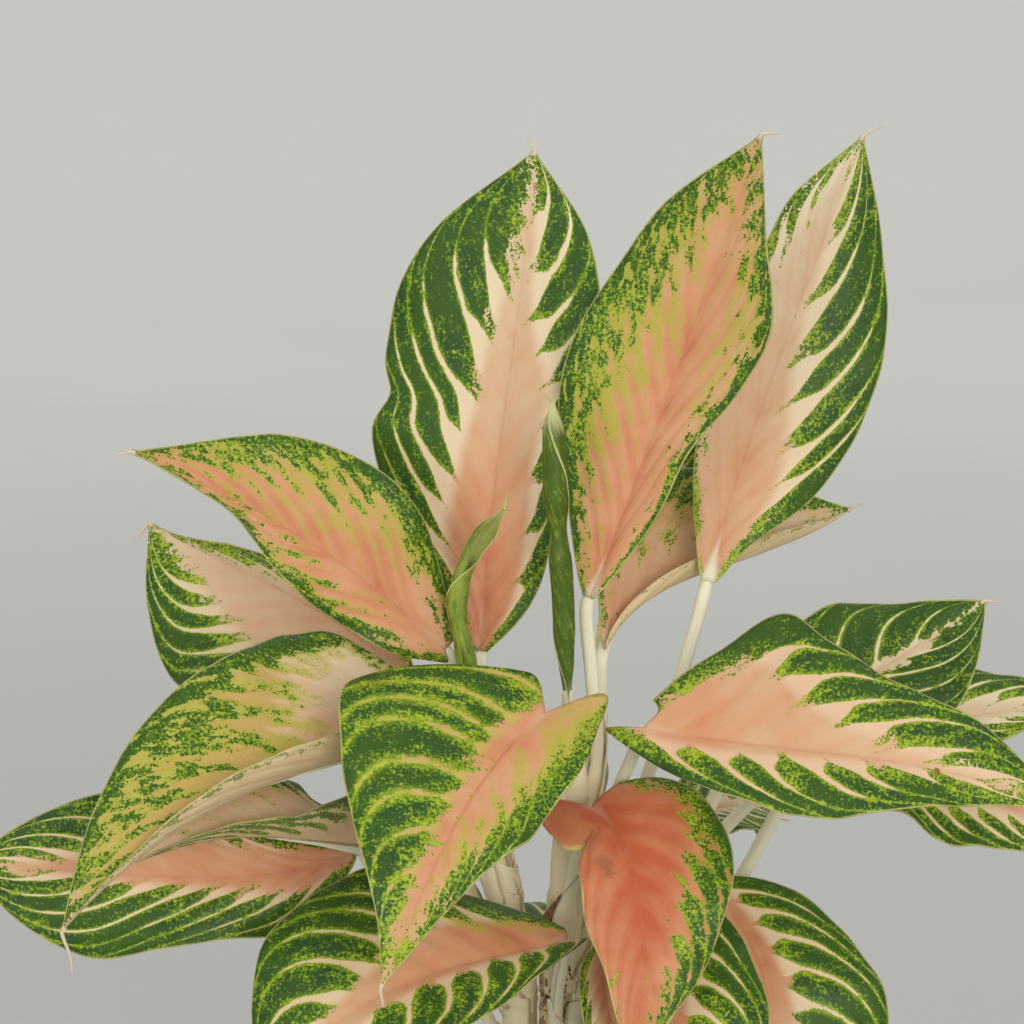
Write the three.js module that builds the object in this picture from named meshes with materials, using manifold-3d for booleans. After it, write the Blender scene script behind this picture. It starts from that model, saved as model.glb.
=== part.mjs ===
// A potted Chinese evergreen (Aglaonema): leafy canes with patterned leaves, in a plain round pot.
// Millimetres, +Z up. The origin is the middle of the pot's underside, and -Y is the plant's front.
// Every leaf is a thin arched blade on a stalk. Each cane is one body with the stalks that grow
// from it, and each blade is a body of its own, because its colours are its own.
import * as THREE from 'three';
import { mergeVertices } from 'three/addons/utils/BufferGeometryUtils.js';
import Module from 'manifold-3d';

const wasm = await Module();
wasm.setup();

// ---------- driving dimensions ----------
const CLEARANCE = 0.3; // between pieces that touch

const POT_HEIGHT = 150;
const POT_RIM_RADIUS = 90;
const POT_BASE_RADIUS = 64;
const POT_WALL = 4.5;
const POT_FLOOR = 6;
const POT_LIP_HEIGHT = 16;
const POT_LIP_STEP = 2.5; // how far the rim band stands out from the wall below it
const POT_RIM_ROUNDING = 3; // height of the rounded top of the rim
const POT_FOOT_CHAMFER = 2;
const POT_SIDES = 36;
const DRAIN_HOLES = 3;
const DRAIN_RADIUS = 5;
const DRAIN_RING_RADIUS = 30;
const DRAIN_SIDES = 16;

const SOIL_TOP = 138; // at the pot's wall
const SOIL_CROWN = 5; // how much higher the soil is among the canes

const BLADE_THICKNESS = 1.0;
const MIDRIB_DEPTH = 2.2; // of the rib under the blade, at its base
const TIP_HALF_WIDTH = 0.9;
const TAIL_HALF_WIDTH = 0.55; // of the thin point that each blade ends in
const BASE_FLARE = 1.3; // how fast a blade widens at its base, against the slope to its first station
const HALF_SHIFT = 0.35; // how far the right margin's waves run ahead of the left margin's, in waves
const BLADE_ROWS = 10;
const BLADE_COLUMNS = [-1, -0.62, -0.22, 0, 0.22, 0.62, 1]; // left margin, midrib, right margin

const STALK_SIDES = 6;
const STALK_STEP = 30; // length of one step along a stalk or cane
const CANE_SIDES = 8;
const STALK_TOP_RADIUS = 3.1;
const SHEATH_RADIUS = 6.6; // of the stalk's foot, which clasps the cane
const SHEATH_SHARE = 0.35; // of the stalk's length
const SHEATH_TAPER = 0.7; // below 1 the sheath stays wide and then narrows quickly
const STALK_OVERRUN = 2; // how far a stalk runs on under its blade
const CANE_RADIUS = 7.5;
const CANE_TOP_RADIUS = 6;
const CANE_FOOT = 98; // lowest point of each cane, in the soil

// ---------- colours ----------
const COLOURS = {
  dark: 0x2f5a2a,
  lime: 0x8a9c3c,
  pink: 0xe3b08f,
  red: 0xd77a5a,
  stalk: 0xe4d9b4,
  young: 0x4c6b2c,
  pot: 0xe9e5dc,
  soil: 0x3a2c22,
};

// ---------- leaves ----------
// midrib: points that the midrib passes at 0, 1/3, 2/3 and 1 of its way.
// faces: which way the upper face looks, at the base and at the tip.
// left, right: half widths at the stations below, seen from above with the tip pointing away.
// fold: degrees that each half rises from the midrib. curl: degrees that it bends back on its way out.
// lobe: how far each half reaches back behind the base. wave: height, waves along, and phase.
// nick: side (0 left, 1 right), place along and depth of a pinch in the margin. tail: its thin end.
const STATIONS = [0, 0.1, 0.25, 0.4, 0.55, 0.7, 0.85, 1];
const PLAIN_SHARES = [0.12, 0.45, 0.82, 0.99, 0.96, 0.78, 0.42]; // of the greatest half width
const plainHalf = (width) => PLAIN_SHARES.map((share) => share * width);
const PLAIN_LEAF = {
  fold: [12, 12], curl: [20, 20], lobe: [0, 0], wave: [3, 2.5, 0], nick: [0, 0.5, 0],
};
const NICK_SPREAD = 0.045;

const LEAVES = {
  leaf_top_left: {
    colour: 'dark', cane: 'left', route: [[-21, 0, 236], [-27, 2, 285], [-32, 10, 322]],
    midrib: [[-32, 14, 340], [-26, 26, 407], [-17, 40, 473], [-10, 46, 541]],
    faces: [[-0.15, -1, 0.1], [-0.15, -1, 0]], tail: [-3, 0, 6],
    left: [3, 15, 41, 54, 54, 52, 35], right: [3, 20, 27, 25, 33, 35, 25],
    fold: [8, 15], curl: [25, 10], wave: [5, 2.6, 0.1], nick: [0, 0.485, 6],
  },
  leaf_top_centre: {
    colour: 'lime', cane: 'centre', route: [[5, -4, 262], [15, -2, 296], [13, 0, 332]],
    midrib: [[12, 0, 365], [33, 10, 417], [55, 14, 478], [79, 4, 550]],
    faces: [[-0.1, -1, 0.1], [-0.1, -1, 0]], tail: [8, -3, 1],
    left: [3, 14, 28, 41, 44, 37, 26], right: [2, 8, 15, 18, 29, 33, 17],
    fold: [5, 35], curl: [20, 20],
  },
  leaf_top_right: {
    colour: 'pink', cane: 'centre', route: [[0, -5, 208], [19, 4, 240], [38, 15, 292], [54, 23, 341]],
    midrib: [[61, 24, 367], [78, 40, 421], [100, 55, 479], [125, 62, 546]],
    faces: [[0.1, -1, 0.1], [0.2, -1, 0]], tail: [9, 0, 5],
    left: [3, 10, 20, 24, 24, 24, 20], right: [3, 12, 31, 41, 42, 37, 22],
    wave: [3, 2.2, 0.6],
  },
  leaf_top_behind: {
    colour: 'pink', cane: 'centre', route: [[4, -4, 250], [16, 4, 290], [17, 9, 324]],
    midrib: [[18, 8, 342], [42, 36, 364], [82, 66, 373], [126, 88, 386]],
    faces: [[0, -1, 0.3], [0, -1, 0.5]], tail: [6, 2, 2],
    left: [3, 8, 26, 40, 42, 34, 20], right: [3, 6, 9, 11, 12, 11, 7],
    fold: [10, 65], lobe: [-4, 0],
  },
  leaf_left_upper: {
    colour: 'lime', cane: 'left', route: [[-23, -1, 245], [-33, -2, 292], [-43, -4, 328]],
    midrib: [[-46, -6, 345], [-82, -14, 378], [-121, -16, 404], [-170, -10, 426]],
    faces: [[0, -1, 0.4], [0, -1, 0.3]], tail: [-7, 2, -2],
    left: [5, 15, 19, 20, 16, 6, 3], right: [5, 18, 33, 39, 38, 31, 16],
    fold: [10, 10], lobe: [4, 0],
  },
  leaf_left_small: {
    colour: 'pink', cane: 'left', route: [[-21, 1, 235], [-42, 8, 285], [-57, 16, 315]],
    midrib: [[-62, 18, 328], [-99, 44, 350], [-137, 66, 365], [-174, 84, 380]],
    faces: [[0, -1, 0.5], [-0.2, -1, 0.4]], tail: [-8, 0, -9],
    left: [4, 22, 42, 52, 56, 52, 32], right: [4, 12, 15, 14, 12, 8, 3],
  },
  leaf_left_arching: {
    colour: 'lime', cane: 'left', route: [[-22, -1, 240], [-33, -14, 285], [-44, -20, 310]],
    midrib: [[-48, -20, 321], [-90, -52, 310], [-136, -84, 298], [-189, -100, 257]],
    faces: [[0, -0.9, 0.6], [-0.3, -1, 0.4]], tail: [0, -2, -9],
    left: [4, 9, 20, 29, 18, 9, 4], right: [20, 50, 58, 56, 52, 42, 24],
    fold: [80, 8], curl: [-20, 15], wave: [2, 2, 0],
  },
  leaf_left_folded: {
    colour: 'pink', cane: 'left', route: [[-18, 2, 212], [-44, -8, 245], [-64, -14, 262]],
    midrib: [[-70, -16, 267], [-101, -36, 275], [-132, -46, 278], [-172, -50, 267]],
    faces: [[0, -0.4, 1], [-0.2, -1, 0.5]], tail: [-6, -1, -2],
    left: [4, 12, 20, 22, 18, 13, 7], right: [5, 20, 28, 30, 28, 22, 12],
    fold: [55, 10], wave: [4, 1.6, 0.3],
  },
  leaf_left_lowest: {
    colour: 'dark', cane: 'left', route: [[-17, 3, 196], [-50, -14, 240], [-76, -19, 260]],
    midrib: [[-83, -20, 265], [-124, -26, 257], [-178, -30, 259], [-240, -22, 261]],
    faces: [[0, -1, 0.3], [0, -1, 0.3]], tail: [-8, 0, 1],
    left: [3, 12, 24, 25, 29, 34, 23], right: [3, 8, 14, 22, 33, 32, 20],
    wave: [4, 2.2, 0.2],
  },
  leaf_front_heart: {
    colour: 'dark', cane: 'centre', route: [[3, -5, 240], [-1, -24, 292], [-6, -38, 318]],
    midrib: [[-6, -46, 329], [-33, -81, 306], [-51, -108, 278], [-68, -123, 242]],
    faces: [[0.2, -0.7, 1], [0.1, -1, 0.3]], tail: [1, 1, -8],
    left: [13, 26, 28, 27, 19, 12, 6], right: [24, 50, 66, 55, 39, 24, 10],
    lobe: [23, 10],
  },
  leaf_front_low_left: {
    colour: 'dark', cane: 'centre', route: [[-1, -5, 165], [-1, -20, 205], [2, -34, 228]],
    midrib: [[3, -40, 235], [-41, -70, 233], [-84, -88, 218], [-112, -84, 172]],
    faces: [[0, -0.6, 1], [-0.5, -0.8, 0.4]], tail: [-3, 2, -8],
    left: [4, 12, 21, 28, 30, 27, 15], right: [8, 26, 44, 55, 56, 48, 26],
    lobe: [8, 2],
  },
  leaf_front_red: {
    colour: 'red', cane: 'centre', route: [[0, -6, 220], [5, -20, 255], [10, -33, 279]],
    midrib: [[12, -38, 289], [28, -66, 271], [30, -84, 240], [28, -92, 198]],
    faces: [[0, -0.8, 0.8], [0, -1, 0.1]], tail: [0, -1, -8],
    left: [16, 31, 39, 38, 31, 24, 12], right: [20, 27, 21, 22, 21, 14, 8],
    lobe: [0, 10], nick: [1, 0.2, 9],
  },
  leaf_right_large: {
    colour: 'pink', cane: 'centre', route: [[2, -5, 235], [16, -13, 272], [29, -30, 309]],
    midrib: [[32, -42, 322], [84, -64, 319], [135, -76, 315], [194, -72, 296]],
    faces: [[0, -0.9, 0.7], [0, -0.9, 0.7]], tail: [7, 1, -4],
    left: [12, 36, 58, 47, 37, 28, 18], right: [8, 17, 24, 27, 25, 17, 8],
    lobe: [-4, 14], wave: [3, 2.5, 0.3],
  },
  leaf_right_dark: {
    colour: 'dark', cane: 'right', route: [[14, 15, 194], [42, 13, 240], [62, 11, 276]],
    midrib: [[70, 10, 290], [112, 28, 315], [148, 42, 335], [178, 48, 354]],
    faces: [[0, -0.8, 0.8], [0.2, -0.9, 0.7]], tail: [7, 1, -1],
    left: [4, 18, 31, 35, 33, 23, 11], right: [4, 18, 32, 34, 34, 30, 18],
    wave: [5, 2.2, 0.2],
  },
  leaf_right_far: {
    colour: 'pink', cane: 'right', route: [[14, 15, 192], [52, 32, 240], [90, 46, 277]],
    midrib: [[100, 50, 284], [150, 72, 292], [196, 92, 296], [240, 104, 292]],
    faces: [[0, -0.8, 0.8], [0.2, -0.9, 0.7]], tail: [6, 1, -2],
    left: plainHalf(24), right: plainHalf(14),
  },
  leaf_right_under: {
    colour: 'pink', cane: 'right', route: [[13, 15, 184], [46, 9, 212], [72, 8, 242], [88, 2, 274]],
    midrib: [[96, -2, 287], [133, -14, 294], [169, -24, 291], [203, -28, 268]],
    faces: [[0, -0.8, 0.8], [0.2, -0.9, 0.7]], tail: [5, -1, -6],
    left: plainHalf(22), right: [2, 8, 14, 18, 26, 26, 18],
  },
  leaf_right_small: {
    colour: 'dark', cane: 'right', route: [[13, 15, 186], [34, 28, 225], [47, 37, 254]],
    midrib: [[50, 40, 262], [64, 62, 260], [80, 80, 257], [97, 96, 248]],
    faces: [[0, -0.4, 1], [0.2, -0.6, 1]], tail: [5, 3, -4],
    left: plainHalf(22), right: plainHalf(24),
  },
  leaf_low_right: {
    colour: 'dark', cane: 'right', route: [[12, 14, 175], [38, 4, 215], [56, -11, 242]],
    midrib: [[59, -14, 250], [79, -38, 224], [83, -52, 196], [86, -58, 158]],
    faces: [[0, -0.6, 0.8], [0.4, -1, 0.3]], tail: [4, 0, -7],
    left: [6, 22, 36, 44, 49, 47, 29], right: [4, 12, 20, 24, 24, 20, 12],
  },
  leaf_low_front: {
    colour: 'dark', cane: 'right', route: [[11, 14, 165], [32, -2, 205], [50, -28, 238]],
    midrib: [[53, -34, 250], [46, -60, 228], [39, -80, 200], [33, -90, 167]],
    faces: [[0, -0.6, 0.8], [0, -1, 0.2]], tail: [0, 0, -6],
    left: [4, 17, 29, 37, 38, 32, 18], right: [4, 12, 18, 20, 20, 18, 10],
  },
  leaf_low_narrow: {
    colour: 'dark', cane: 'centre', route: [[-1, -6, 170], [8, -14, 200], [17, -25, 221]],
    midrib: [[19, -28, 229], [18, -46, 214], [23, -58, 193], [28, -64, 164]],
    faces: [[0, -0.6, 0.8], [0, -1, 0.2]], tail: [0, 0, -6],
    left: [3, 9, 16, 20, 21, 18, 10], right: [3, 8, 10, 11, 11, 10, 6],
  },
  leaf_back_left: {
    colour: 'dark', cane: 'left', route: [[-18, 4, 200], [-29, 22, 240], [-38, 41, 262]],
    midrib: [[-40, 47, 270], [-54, 100, 284], [-64, 150, 276], [-70, 190, 243]],
    faces: [[0, -0.3, 1], [0, 0.8, 0.6]], tail: [0, 3, -6],
    left: plainHalf(34), right: plainHalf(34),
  },
  leaf_back_far_left: {
    colour: 'lime', cane: 'left', route: [[-17, 4, 190], [-38, 22, 240], [-53, 40, 277]],
    midrib: [[-58, 45, 286], [-95, 80, 303], [-135, 115, 297], [-165, 145, 262]],
    faces: [[0, -0.3, 1], [-0.4, 0.4, 0.8]], tail: [-3, 3, -6],
    left: plainHalf(36), right: plainHalf(36),
  },
  leaf_back_tall: {
    colour: 'pink', cane: 'centre', route: [[2, -5, 230], [13, 22, 290], [20, 44, 352]],
    midrib: [[22, 48, 372], [32, 90, 412], [44, 116, 452], [50, 138, 488]],
    faces: [[0, -1, 0.5], [0, -1, 1]], tail: [1, 4, 5],
    left: plainHalf(28), right: plainHalf(32),
  },
  leaf_back_low_left: {
    colour: 'dark', cane: 'left', route: [[-15, 5, 156], [-30, 24, 182], [-42, 41, 198]],
    midrib: [[-45, 45, 202], [-66, 85, 204], [-92, 120, 192], [-114, 150, 162]],
    faces: [[0, 0, 1], [-0.4, 0.6, 0.6]], tail: [-3, 3, -6],
    left: plainHalf(34), right: plainHalf(34),
  },
  leaf_back_low_right: {
    colour: 'dark', cane: 'right', route: [[11, 14, 155], [28, 26, 184], [38, 33, 199]],
    midrib: [[40, 35, 205], [72, 72, 205], [100, 105, 185], [120, 130, 150]],
    faces: [[0, 0, 1], [0.4, 0.6, 0.6]], tail: [3, 3, -6],
    left: plainHalf(34), right: plainHalf(34),
  },
  leaf_back_centre: {
    colour: 'pink', cane: 'right', route: [[10, 14, 152], [9, 26, 172], [8, 37, 183]],
    midrib: [[8, 42, 186], [10, 92, 198], [12, 140, 194], [14, 184, 170]],
    faces: [[0, 0, 1], [0, 0.7, 0.6]], tail: [0, 4, -6],
    left: plainHalf(29), right: plainHalf(29),
  },
};

// Canes, from the lowest point up. A cane's last point is where its youngest leaf comes out.
const CANES = {
  centre: [[0, -4, CANE_FOOT], [-1, -5, 150], [-1, -6, 205], [4, -4, 250], [6, -5, 284]],
  left: [[-14, 6, CANE_FOOT], [-15, 5, 160], [-18, 3, 215], [-26, -3, 262]],
  right: [[9, 13, CANE_FOOT], [10, 14, 150], [15, 15, 200]],
};

// Young leaves that are still rolled up: the way of each roll, and its radius along it.
const YOUNG_LEAVES = {
  young_leaf_centre: {
    cane: 'centre',
    path: [[6, -6, 290], [3, -8, 329], [1, -8, 370], [-2, -8, 410], [-3, -8, 448]],
    radii: [3.2, 4.2, 4.4, 3.2, 0.7],
  },
  young_leaf_left: {
    cane: 'left',
    path: [[-31, -10, 300], [-37, -13, 341], [-41, -13, 366], [-35, -12, 386], [-22, -10, 406]],
    radii: [2.4, 3, 3.2, 2.2, 0.6],
  },
};

// ---------- small tools ----------
const vector = (point) => new THREE.Vector3(...point);

function toSolid(geometry) {
  const bare = geometry.clone();
  bare.deleteAttribute('normal');
  bare.deleteAttribute('uv');
  const merged = mergeVertices(bare);
  return new wasm.Manifold(new wasm.Mesh({
    numProp: 3,
    vertProperties: Float32Array.from(merged.attributes.position.array),
    triVerts: Uint32Array.from(merged.index.array),
  }));
}

function toGeometry(solid) {
  const mesh = solid.getMesh();
  const geometry = new THREE.BufferGeometry();
  geometry.setAttribute('position', new THREE.BufferAttribute(mesh.vertProperties, 3));
  geometry.setIndex(new THREE.BufferAttribute(mesh.triVerts, 1));
  geometry.computeVertexNormals();
  return geometry;
}

// A cut can leave crumbs beside the piece that is wanted, and they are dropped.
function largestPiece(solid) {
  return solid.decompose().reduce((best, piece) => (piece.volume() > best.volume() ? piece : best));
}

// Joins the triangles of a closed body into an indexed geometry.
function closedGeometry(points, triangles) {
  const geometry = new THREE.BufferGeometry();
  geometry.setAttribute('position', new THREE.Float32BufferAttribute(points.flatMap((p) => p.toArray()), 3));
  geometry.setIndex(triangles.flat());
  geometry.computeVertexNormals();
  return geometry;
}

// A round bar along a curve, with a radius that may change on the way, and flat ends.
function roundBar(path, radiusAt, sides) {
  const curve = new THREE.CatmullRomCurve3(path.map(vector), false, 'centripetal');
  const steps = Math.max(3, Math.round(curve.getLength() / STALK_STEP));
  const frames = curve.computeFrenetFrames(steps, false);
  const points = [];
  const triangles = [];
  for (let step = 0; step <= steps; step += 1) {
    const centre = curve.getPointAt(step / steps);
    for (let side = 0; side < sides; side += 1) {
      const angle = (2 * Math.PI * side) / sides;
      points.push(centre.clone()
        .addScaledVector(frames.normals[step], Math.cos(angle) * radiusAt(step / steps))
        .addScaledVector(frames.binormals[step], Math.sin(angle) * radiusAt(step / steps)));
    }
  }
  for (let step = 0; step < steps; step += 1) {
    for (let side = 0; side < sides; side += 1) {
      const [a, b] = [step * sides + side, step * sides + (side + 1) % sides];
      triangles.push([a, b, b + sides], [a, b + sides, a + sides]);
    }
  }
  const last = steps * sides;
  for (let side = 1; side < sides - 1; side += 1) {
    triangles.push([0, side + 1, side], [last, last + side, last + side + 1]);
  }
  return closedGeometry(points, triangles);
}

// ---------- the leaf's form ----------
// Smooth line through the half widths at the stations, ending at nothing at the tip.
function halfWidth(widths, t) {
  const values = [...widths, 0];
  const last = STATIONS.length - 1;
  const slope = (i) => {
    const [low, high] = [Math.max(i - 1, 0), Math.min(i + 1, last)];
    const rise = (values[high] - values[low]) / (STATIONS[high] - STATIONS[low]);
    return i === 0 ? BASE_FLARE * rise : rise;
  };
  let i = 0;
  while (i < last - 1 && t >= STATIONS[i + 1]) i += 1;
  const length = STATIONS[i + 1] - STATIONS[i];
  const u = (t - STATIONS[i]) / length;
  return (2 * u ** 3 - 3 * u * u + 1) * values[i]
    + (u ** 3 - 2 * u * u + u) * length * slope(i)
    + (3 * u * u - 2 * u ** 3) * values[i + 1]
    + (u ** 3 - u * u) * length * slope(i + 1);
}

// The cubic that passes four points at 0, 1/3, 2/3 and 1.
function midribCurve(points) {
  const [p0, p1, p2, p3] = points.map(vector);
  const mix = (a, b, c, d) => p0.clone().multiplyScalar(a).addScaledVector(p1, b)
    .addScaledVector(p2, c).addScaledVector(p3, d);
  return new THREE.CubicBezierCurve3(p0, mix(-5 / 6, 3, -1.5, 1 / 3), mix(1 / 3, -1.5, 3, -5 / 6), p3);
}

// Place on the blade's middle surface: t runs from base to tip, q from -1 (left margin) to 1 (right).
function bladePoint(leaf, t, q, grow = 0) {
  const side = q > 0 ? 1 : 0;
  const share = Math.abs(q);
  const centre = leaf.curve.getPoint(t);
  const along = leaf.curve.getTangent(t).normalize();
  const up = vector(leaf.faces[0]).lerp(vector(leaf.faces[1]), t);
  up.addScaledVector(along, -up.dot(along)).normalize();
  const across = new THREE.Vector3().crossVectors(along, up);
  const [nickSide, nickAt, nickDepth] = leaf.nick;
  const nick = side === nickSide ? nickDepth * Math.exp(-(((t - nickAt) / NICK_SPREAD) ** 2)) : 0;
  const width = grow + Math.max(TIP_HALF_WIDTH, halfWidth(side ? leaf.right : leaf.left, t) - nick);
  const rise = THREE.MathUtils.degToRad(leaf.fold[side]);
  const bend = THREE.MathUtils.degToRad(leaf.curl[side]);
  const out = (width * (Math.sin(rise) - Math.sin(rise - bend * share))) / bend;
  let height = (width * (Math.cos(rise - bend * share) - Math.cos(rise))) / bend;
  const [waveHeight, waves, phase] = leaf.wave;
  const turn = waves * t + phase + (side ? HALF_SHIFT : 0);
  height += waveHeight * share ** 2 * Math.sin(2 * Math.PI * turn) * Math.sqrt(Math.sin(Math.PI * t));
  const back = -leaf.lobe[side] * share ** 1.5 * (1 - t) ** 3;
  return centre.addScaledVector(across, Math.sign(q) * out)
    .addScaledVector(up, height).addScaledVector(along, back);
}

// Which way the upper face looks at a place on the blade.
function bladeNormal(leaf, t, q) {
  const near = 0.01;
  const [t0, t1] = [Math.max(t - near, 0), Math.min(t + near, 1)];
  const [q0, q1] = [Math.max(q - near, -1), Math.min(q + near, 1)];
  const along = bladePoint(leaf, t1, q).sub(bladePoint(leaf, t0, q));
  const across = bladePoint(leaf, t, q1).sub(bladePoint(leaf, t, q0));
  return across.cross(along).normalize();
}

// The blade as a closed thin solid. Both faces are split into triangles the same way.
// grow makes it bigger all round, for the seat that it gets in its stalk.
function bladeGeometry(leaf, grow = 0) {
  const columns = BLADE_COLUMNS.length;
  const upper = [];
  const lower = [];
  for (let row = 0; row <= BLADE_ROWS + 1; row += 1) {
    const isTail = row > BLADE_ROWS;
    const t = Math.min(row / BLADE_ROWS, 1);
    for (const q of BLADE_COLUMNS) {
      const middle = bladePoint(leaf, t, q, isTail ? TAIL_HALF_WIDTH - TIP_HALF_WIDTH + grow : grow);
      if (isTail) middle.add(vector(leaf.tail));
      if (row === 0) middle.addScaledVector(leaf.curve.getTangent(0).normalize(), -grow);
      const normal = bladeNormal(leaf, t, q);
      const rib = q === 0 ? MIDRIB_DEPTH * (1 - t) : 0;
      upper.push(middle.clone().addScaledVector(normal, BLADE_THICKNESS / 2 + grow));
      lower.push(middle.clone().addScaledVector(normal, -BLADE_THICKNESS / 2 - rib - grow));
    }
  }
  const rows = upper.length / columns;
  const under = upper.length;
  const triangles = [];
  for (let row = 0; row < rows - 1; row += 1) {
    for (let column = 0; column < columns - 1; column += 1) {
      const a = row * columns + column;
      const [b, c, d] = [a + 1, a + columns + 1, a + columns];
      triangles.push([a, b, c], [a, c, d]);
      triangles.push([under + a, under + c, under + b], [under + a, under + d, under + c]);
    }
  }
  const rim = [];
  for (let column = 0; column < columns; column += 1) rim.push(column);
  for (let row = 1; row < rows; row += 1) rim.push(row * columns + columns - 1);
  for (let column = columns - 2; column >= 0; column -= 1) rim.push((rows - 1) * columns + column);
  for (let row = rows - 2; row > 0; row -= 1) rim.push(row * columns);
  rim.forEach((a, place) => {
    const b = rim[(place + 1) % rim.length];
    triangles.push([a, under + b, b], [a, under + a, under + b]);
  });
  return closedGeometry([...upper, ...lower], triangles);
}

// ---------- stalks and canes ----------
// A leaf's stalk runs from inside its cane to the underside of the blade's base. It starts as a
// sheath that clasps the cane. The blade's base sits in a seat cut in the stalk's end.
function stalkSolid(leaf) {
  const end = bladePoint(leaf, 0, 0).addScaledVector(bladeNormal(leaf, 0, 0), -MIDRIB_DEPTH / 2);
  const ahead = end.clone().addScaledVector(leaf.curve.getTangent(0).normalize(), STALK_OVERRUN);
  const radiusAt = (share) => {
    const sheath = Math.max(0, 1 - share / SHEATH_SHARE);
    return STALK_TOP_RADIUS + (SHEATH_RADIUS - STALK_TOP_RADIUS) * sheath ** SHEATH_TAPER;
  };
  const stalk = toSolid(roundBar([...leaf.route, ahead.toArray()], radiusAt, STALK_SIDES));
  return largestPiece(stalk.subtract(toSolid(bladeGeometry(leaf, CLEARANCE))));
}

const caneRadius = (share) => CANE_RADIUS + (CANE_TOP_RADIUS - CANE_RADIUS) * share;

// The stub that a rolled young leaf stands on, from the cane's top to just below the roll.
function youngStub({ cane, path, radii }) {
  const radiusAt = (share) => CANE_TOP_RADIUS + (radii[0] - CANE_TOP_RADIUS) * share;
  const stub = toSolid(roundBar([CANES[cane].at(-1), path[0]], radiusAt, STALK_SIDES));
  return largestPiece(stub.subtract(toSolid(youngLeafGeometry({ path, radii }, CLEARANCE))));
}

function caneSolid(cane) {
  let solid = toSolid(roundBar(CANES[cane], caneRadius, CANE_SIDES));
  for (const leaf of Object.values(LEAVES)) {
    if (leaf.cane === cane) solid = solid.add(stalkSolid(leaf));
  }
  for (const young of Object.values(YOUNG_LEAVES)) {
    if (young.cane === cane) solid = solid.add(youngStub(young));
  }
  return solid;
}

// A rolled leaf as a slim spindle. grow makes it bigger all round, for its seat on the stub.
function youngLeafGeometry({ path, radii }, grow = 0) {
  const radiusAt = (share) => {
    const place = share * (radii.length - 1);
    const i = Math.min(Math.floor(place), radii.length - 2);
    return radii[i] + (radii[i + 1] - radii[i]) * (place - i) + grow;
  };
  const [foot, next] = path.slice(0, 2).map(vector);
  foot.addScaledVector(next.clone().sub(foot).normalize(), -grow);
  return roundBar([foot.toArray(), ...path.slice(1)], radiusAt, STALK_SIDES);
}

// ---------- pot and soil ----------
const POT_FLARE = (POT_RIM_RADIUS - POT_LIP_STEP - POT_BASE_RADIUS) / POT_HEIGHT;
const potOuterRadius = (z) => POT_BASE_RADIUS + POT_FLARE * z;
const potInnerRadius = (z) => potOuterRadius(z) - POT_WALL;

function lathe(profile, sides) {
  const outline = profile.map(([radius, height]) => new THREE.Vector2(radius, height));
  return new THREE.LatheGeometry(outline, sides).rotateX(Math.PI / 2);
}

function potGeometry() {
  const lipBottom = POT_HEIGHT - POT_LIP_HEIGHT;
  const rimInner = potInnerRadius(POT_HEIGHT);
  const rimInset = POT_RIM_ROUNDING / 3;
  let solid = toSolid(lathe([
    [0, 0],
    [POT_BASE_RADIUS - POT_FOOT_CHAMFER, 0],
    [POT_BASE_RADIUS, POT_FOOT_CHAMFER],
    [potOuterRadius(lipBottom - POT_LIP_STEP), lipBottom - POT_LIP_STEP],
    [POT_RIM_RADIUS, lipBottom],
    [POT_RIM_RADIUS, POT_HEIGHT - POT_RIM_ROUNDING],
    [POT_RIM_RADIUS - rimInset, POT_HEIGHT - rimInset],
    [(POT_RIM_RADIUS + rimInner) / 2, POT_HEIGHT],
    [rimInner + rimInset, POT_HEIGHT - rimInset],
    [rimInner, POT_HEIGHT - POT_RIM_ROUNDING],
    [potInnerRadius(POT_FLOOR), POT_FLOOR],
    [0, POT_FLOOR],
  ], POT_SIDES));
  for (let hole = 0; hole < DRAIN_HOLES; hole += 1) {
    const angle = (2 * Math.PI * hole) / DRAIN_HOLES;
    const drill = new THREE.CylinderGeometry(DRAIN_RADIUS, DRAIN_RADIUS, 3 * POT_FLOOR, DRAIN_SIDES);
    drill.rotateX(Math.PI / 2);
    drill.translate(DRAIN_RING_RADIUS * Math.cos(angle), DRAIN_RING_RADIUS * Math.sin(angle), 0);
    solid = solid.subtract(toSolid(drill));
  }
  return toGeometry(solid);
}

// The soil fills the pot and rises a little among the canes, each of which stands in a plain hole.
function soilGeometry() {
  const edge = potInnerRadius(SOIL_TOP) - 2 * CLEARANCE;
  const surfacePoint = (share) => [share * edge, SOIL_TOP + SOIL_CROWN * (1 - share ** 2)];
  let solid = toSolid(lathe([
    [0, POT_FLOOR + CLEARANCE],
    [potInnerRadius(POT_FLOOR) - 2 * CLEARANCE, POT_FLOOR + CLEARANCE],
    ...[1, 2 / 3, 1 / 3, 0].map(surfacePoint),
  ], POT_SIDES));
  for (const path of Object.values(CANES)) {
    const [foot, ...rest] = path;
    const below = [foot[0], foot[1], foot[2] - CLEARANCE];
    const hole = roundBar([below, ...rest], (share) => caneRadius(share) + CLEARANCE, CANE_SIDES);
    solid = solid.subtract(toSolid(hole));
  }
  return toGeometry(solid);
}

// ---------- assembly ----------
for (const leaf of Object.values(LEAVES)) {
  Object.assign(leaf, { ...PLAIN_LEAF, ...leaf });
  leaf.curve = midribCurve(leaf.midrib);
}

const plant = new THREE.Group();

function addPiece(name, geometry, colour, roughness) {
  const material = new THREE.MeshStandardMaterial({ color: COLOURS[colour], roughness, metalness: 0 });
  const mesh = new THREE.Mesh(geometry, material);
  mesh.name = name;
  plant.add(mesh);
}

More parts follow.
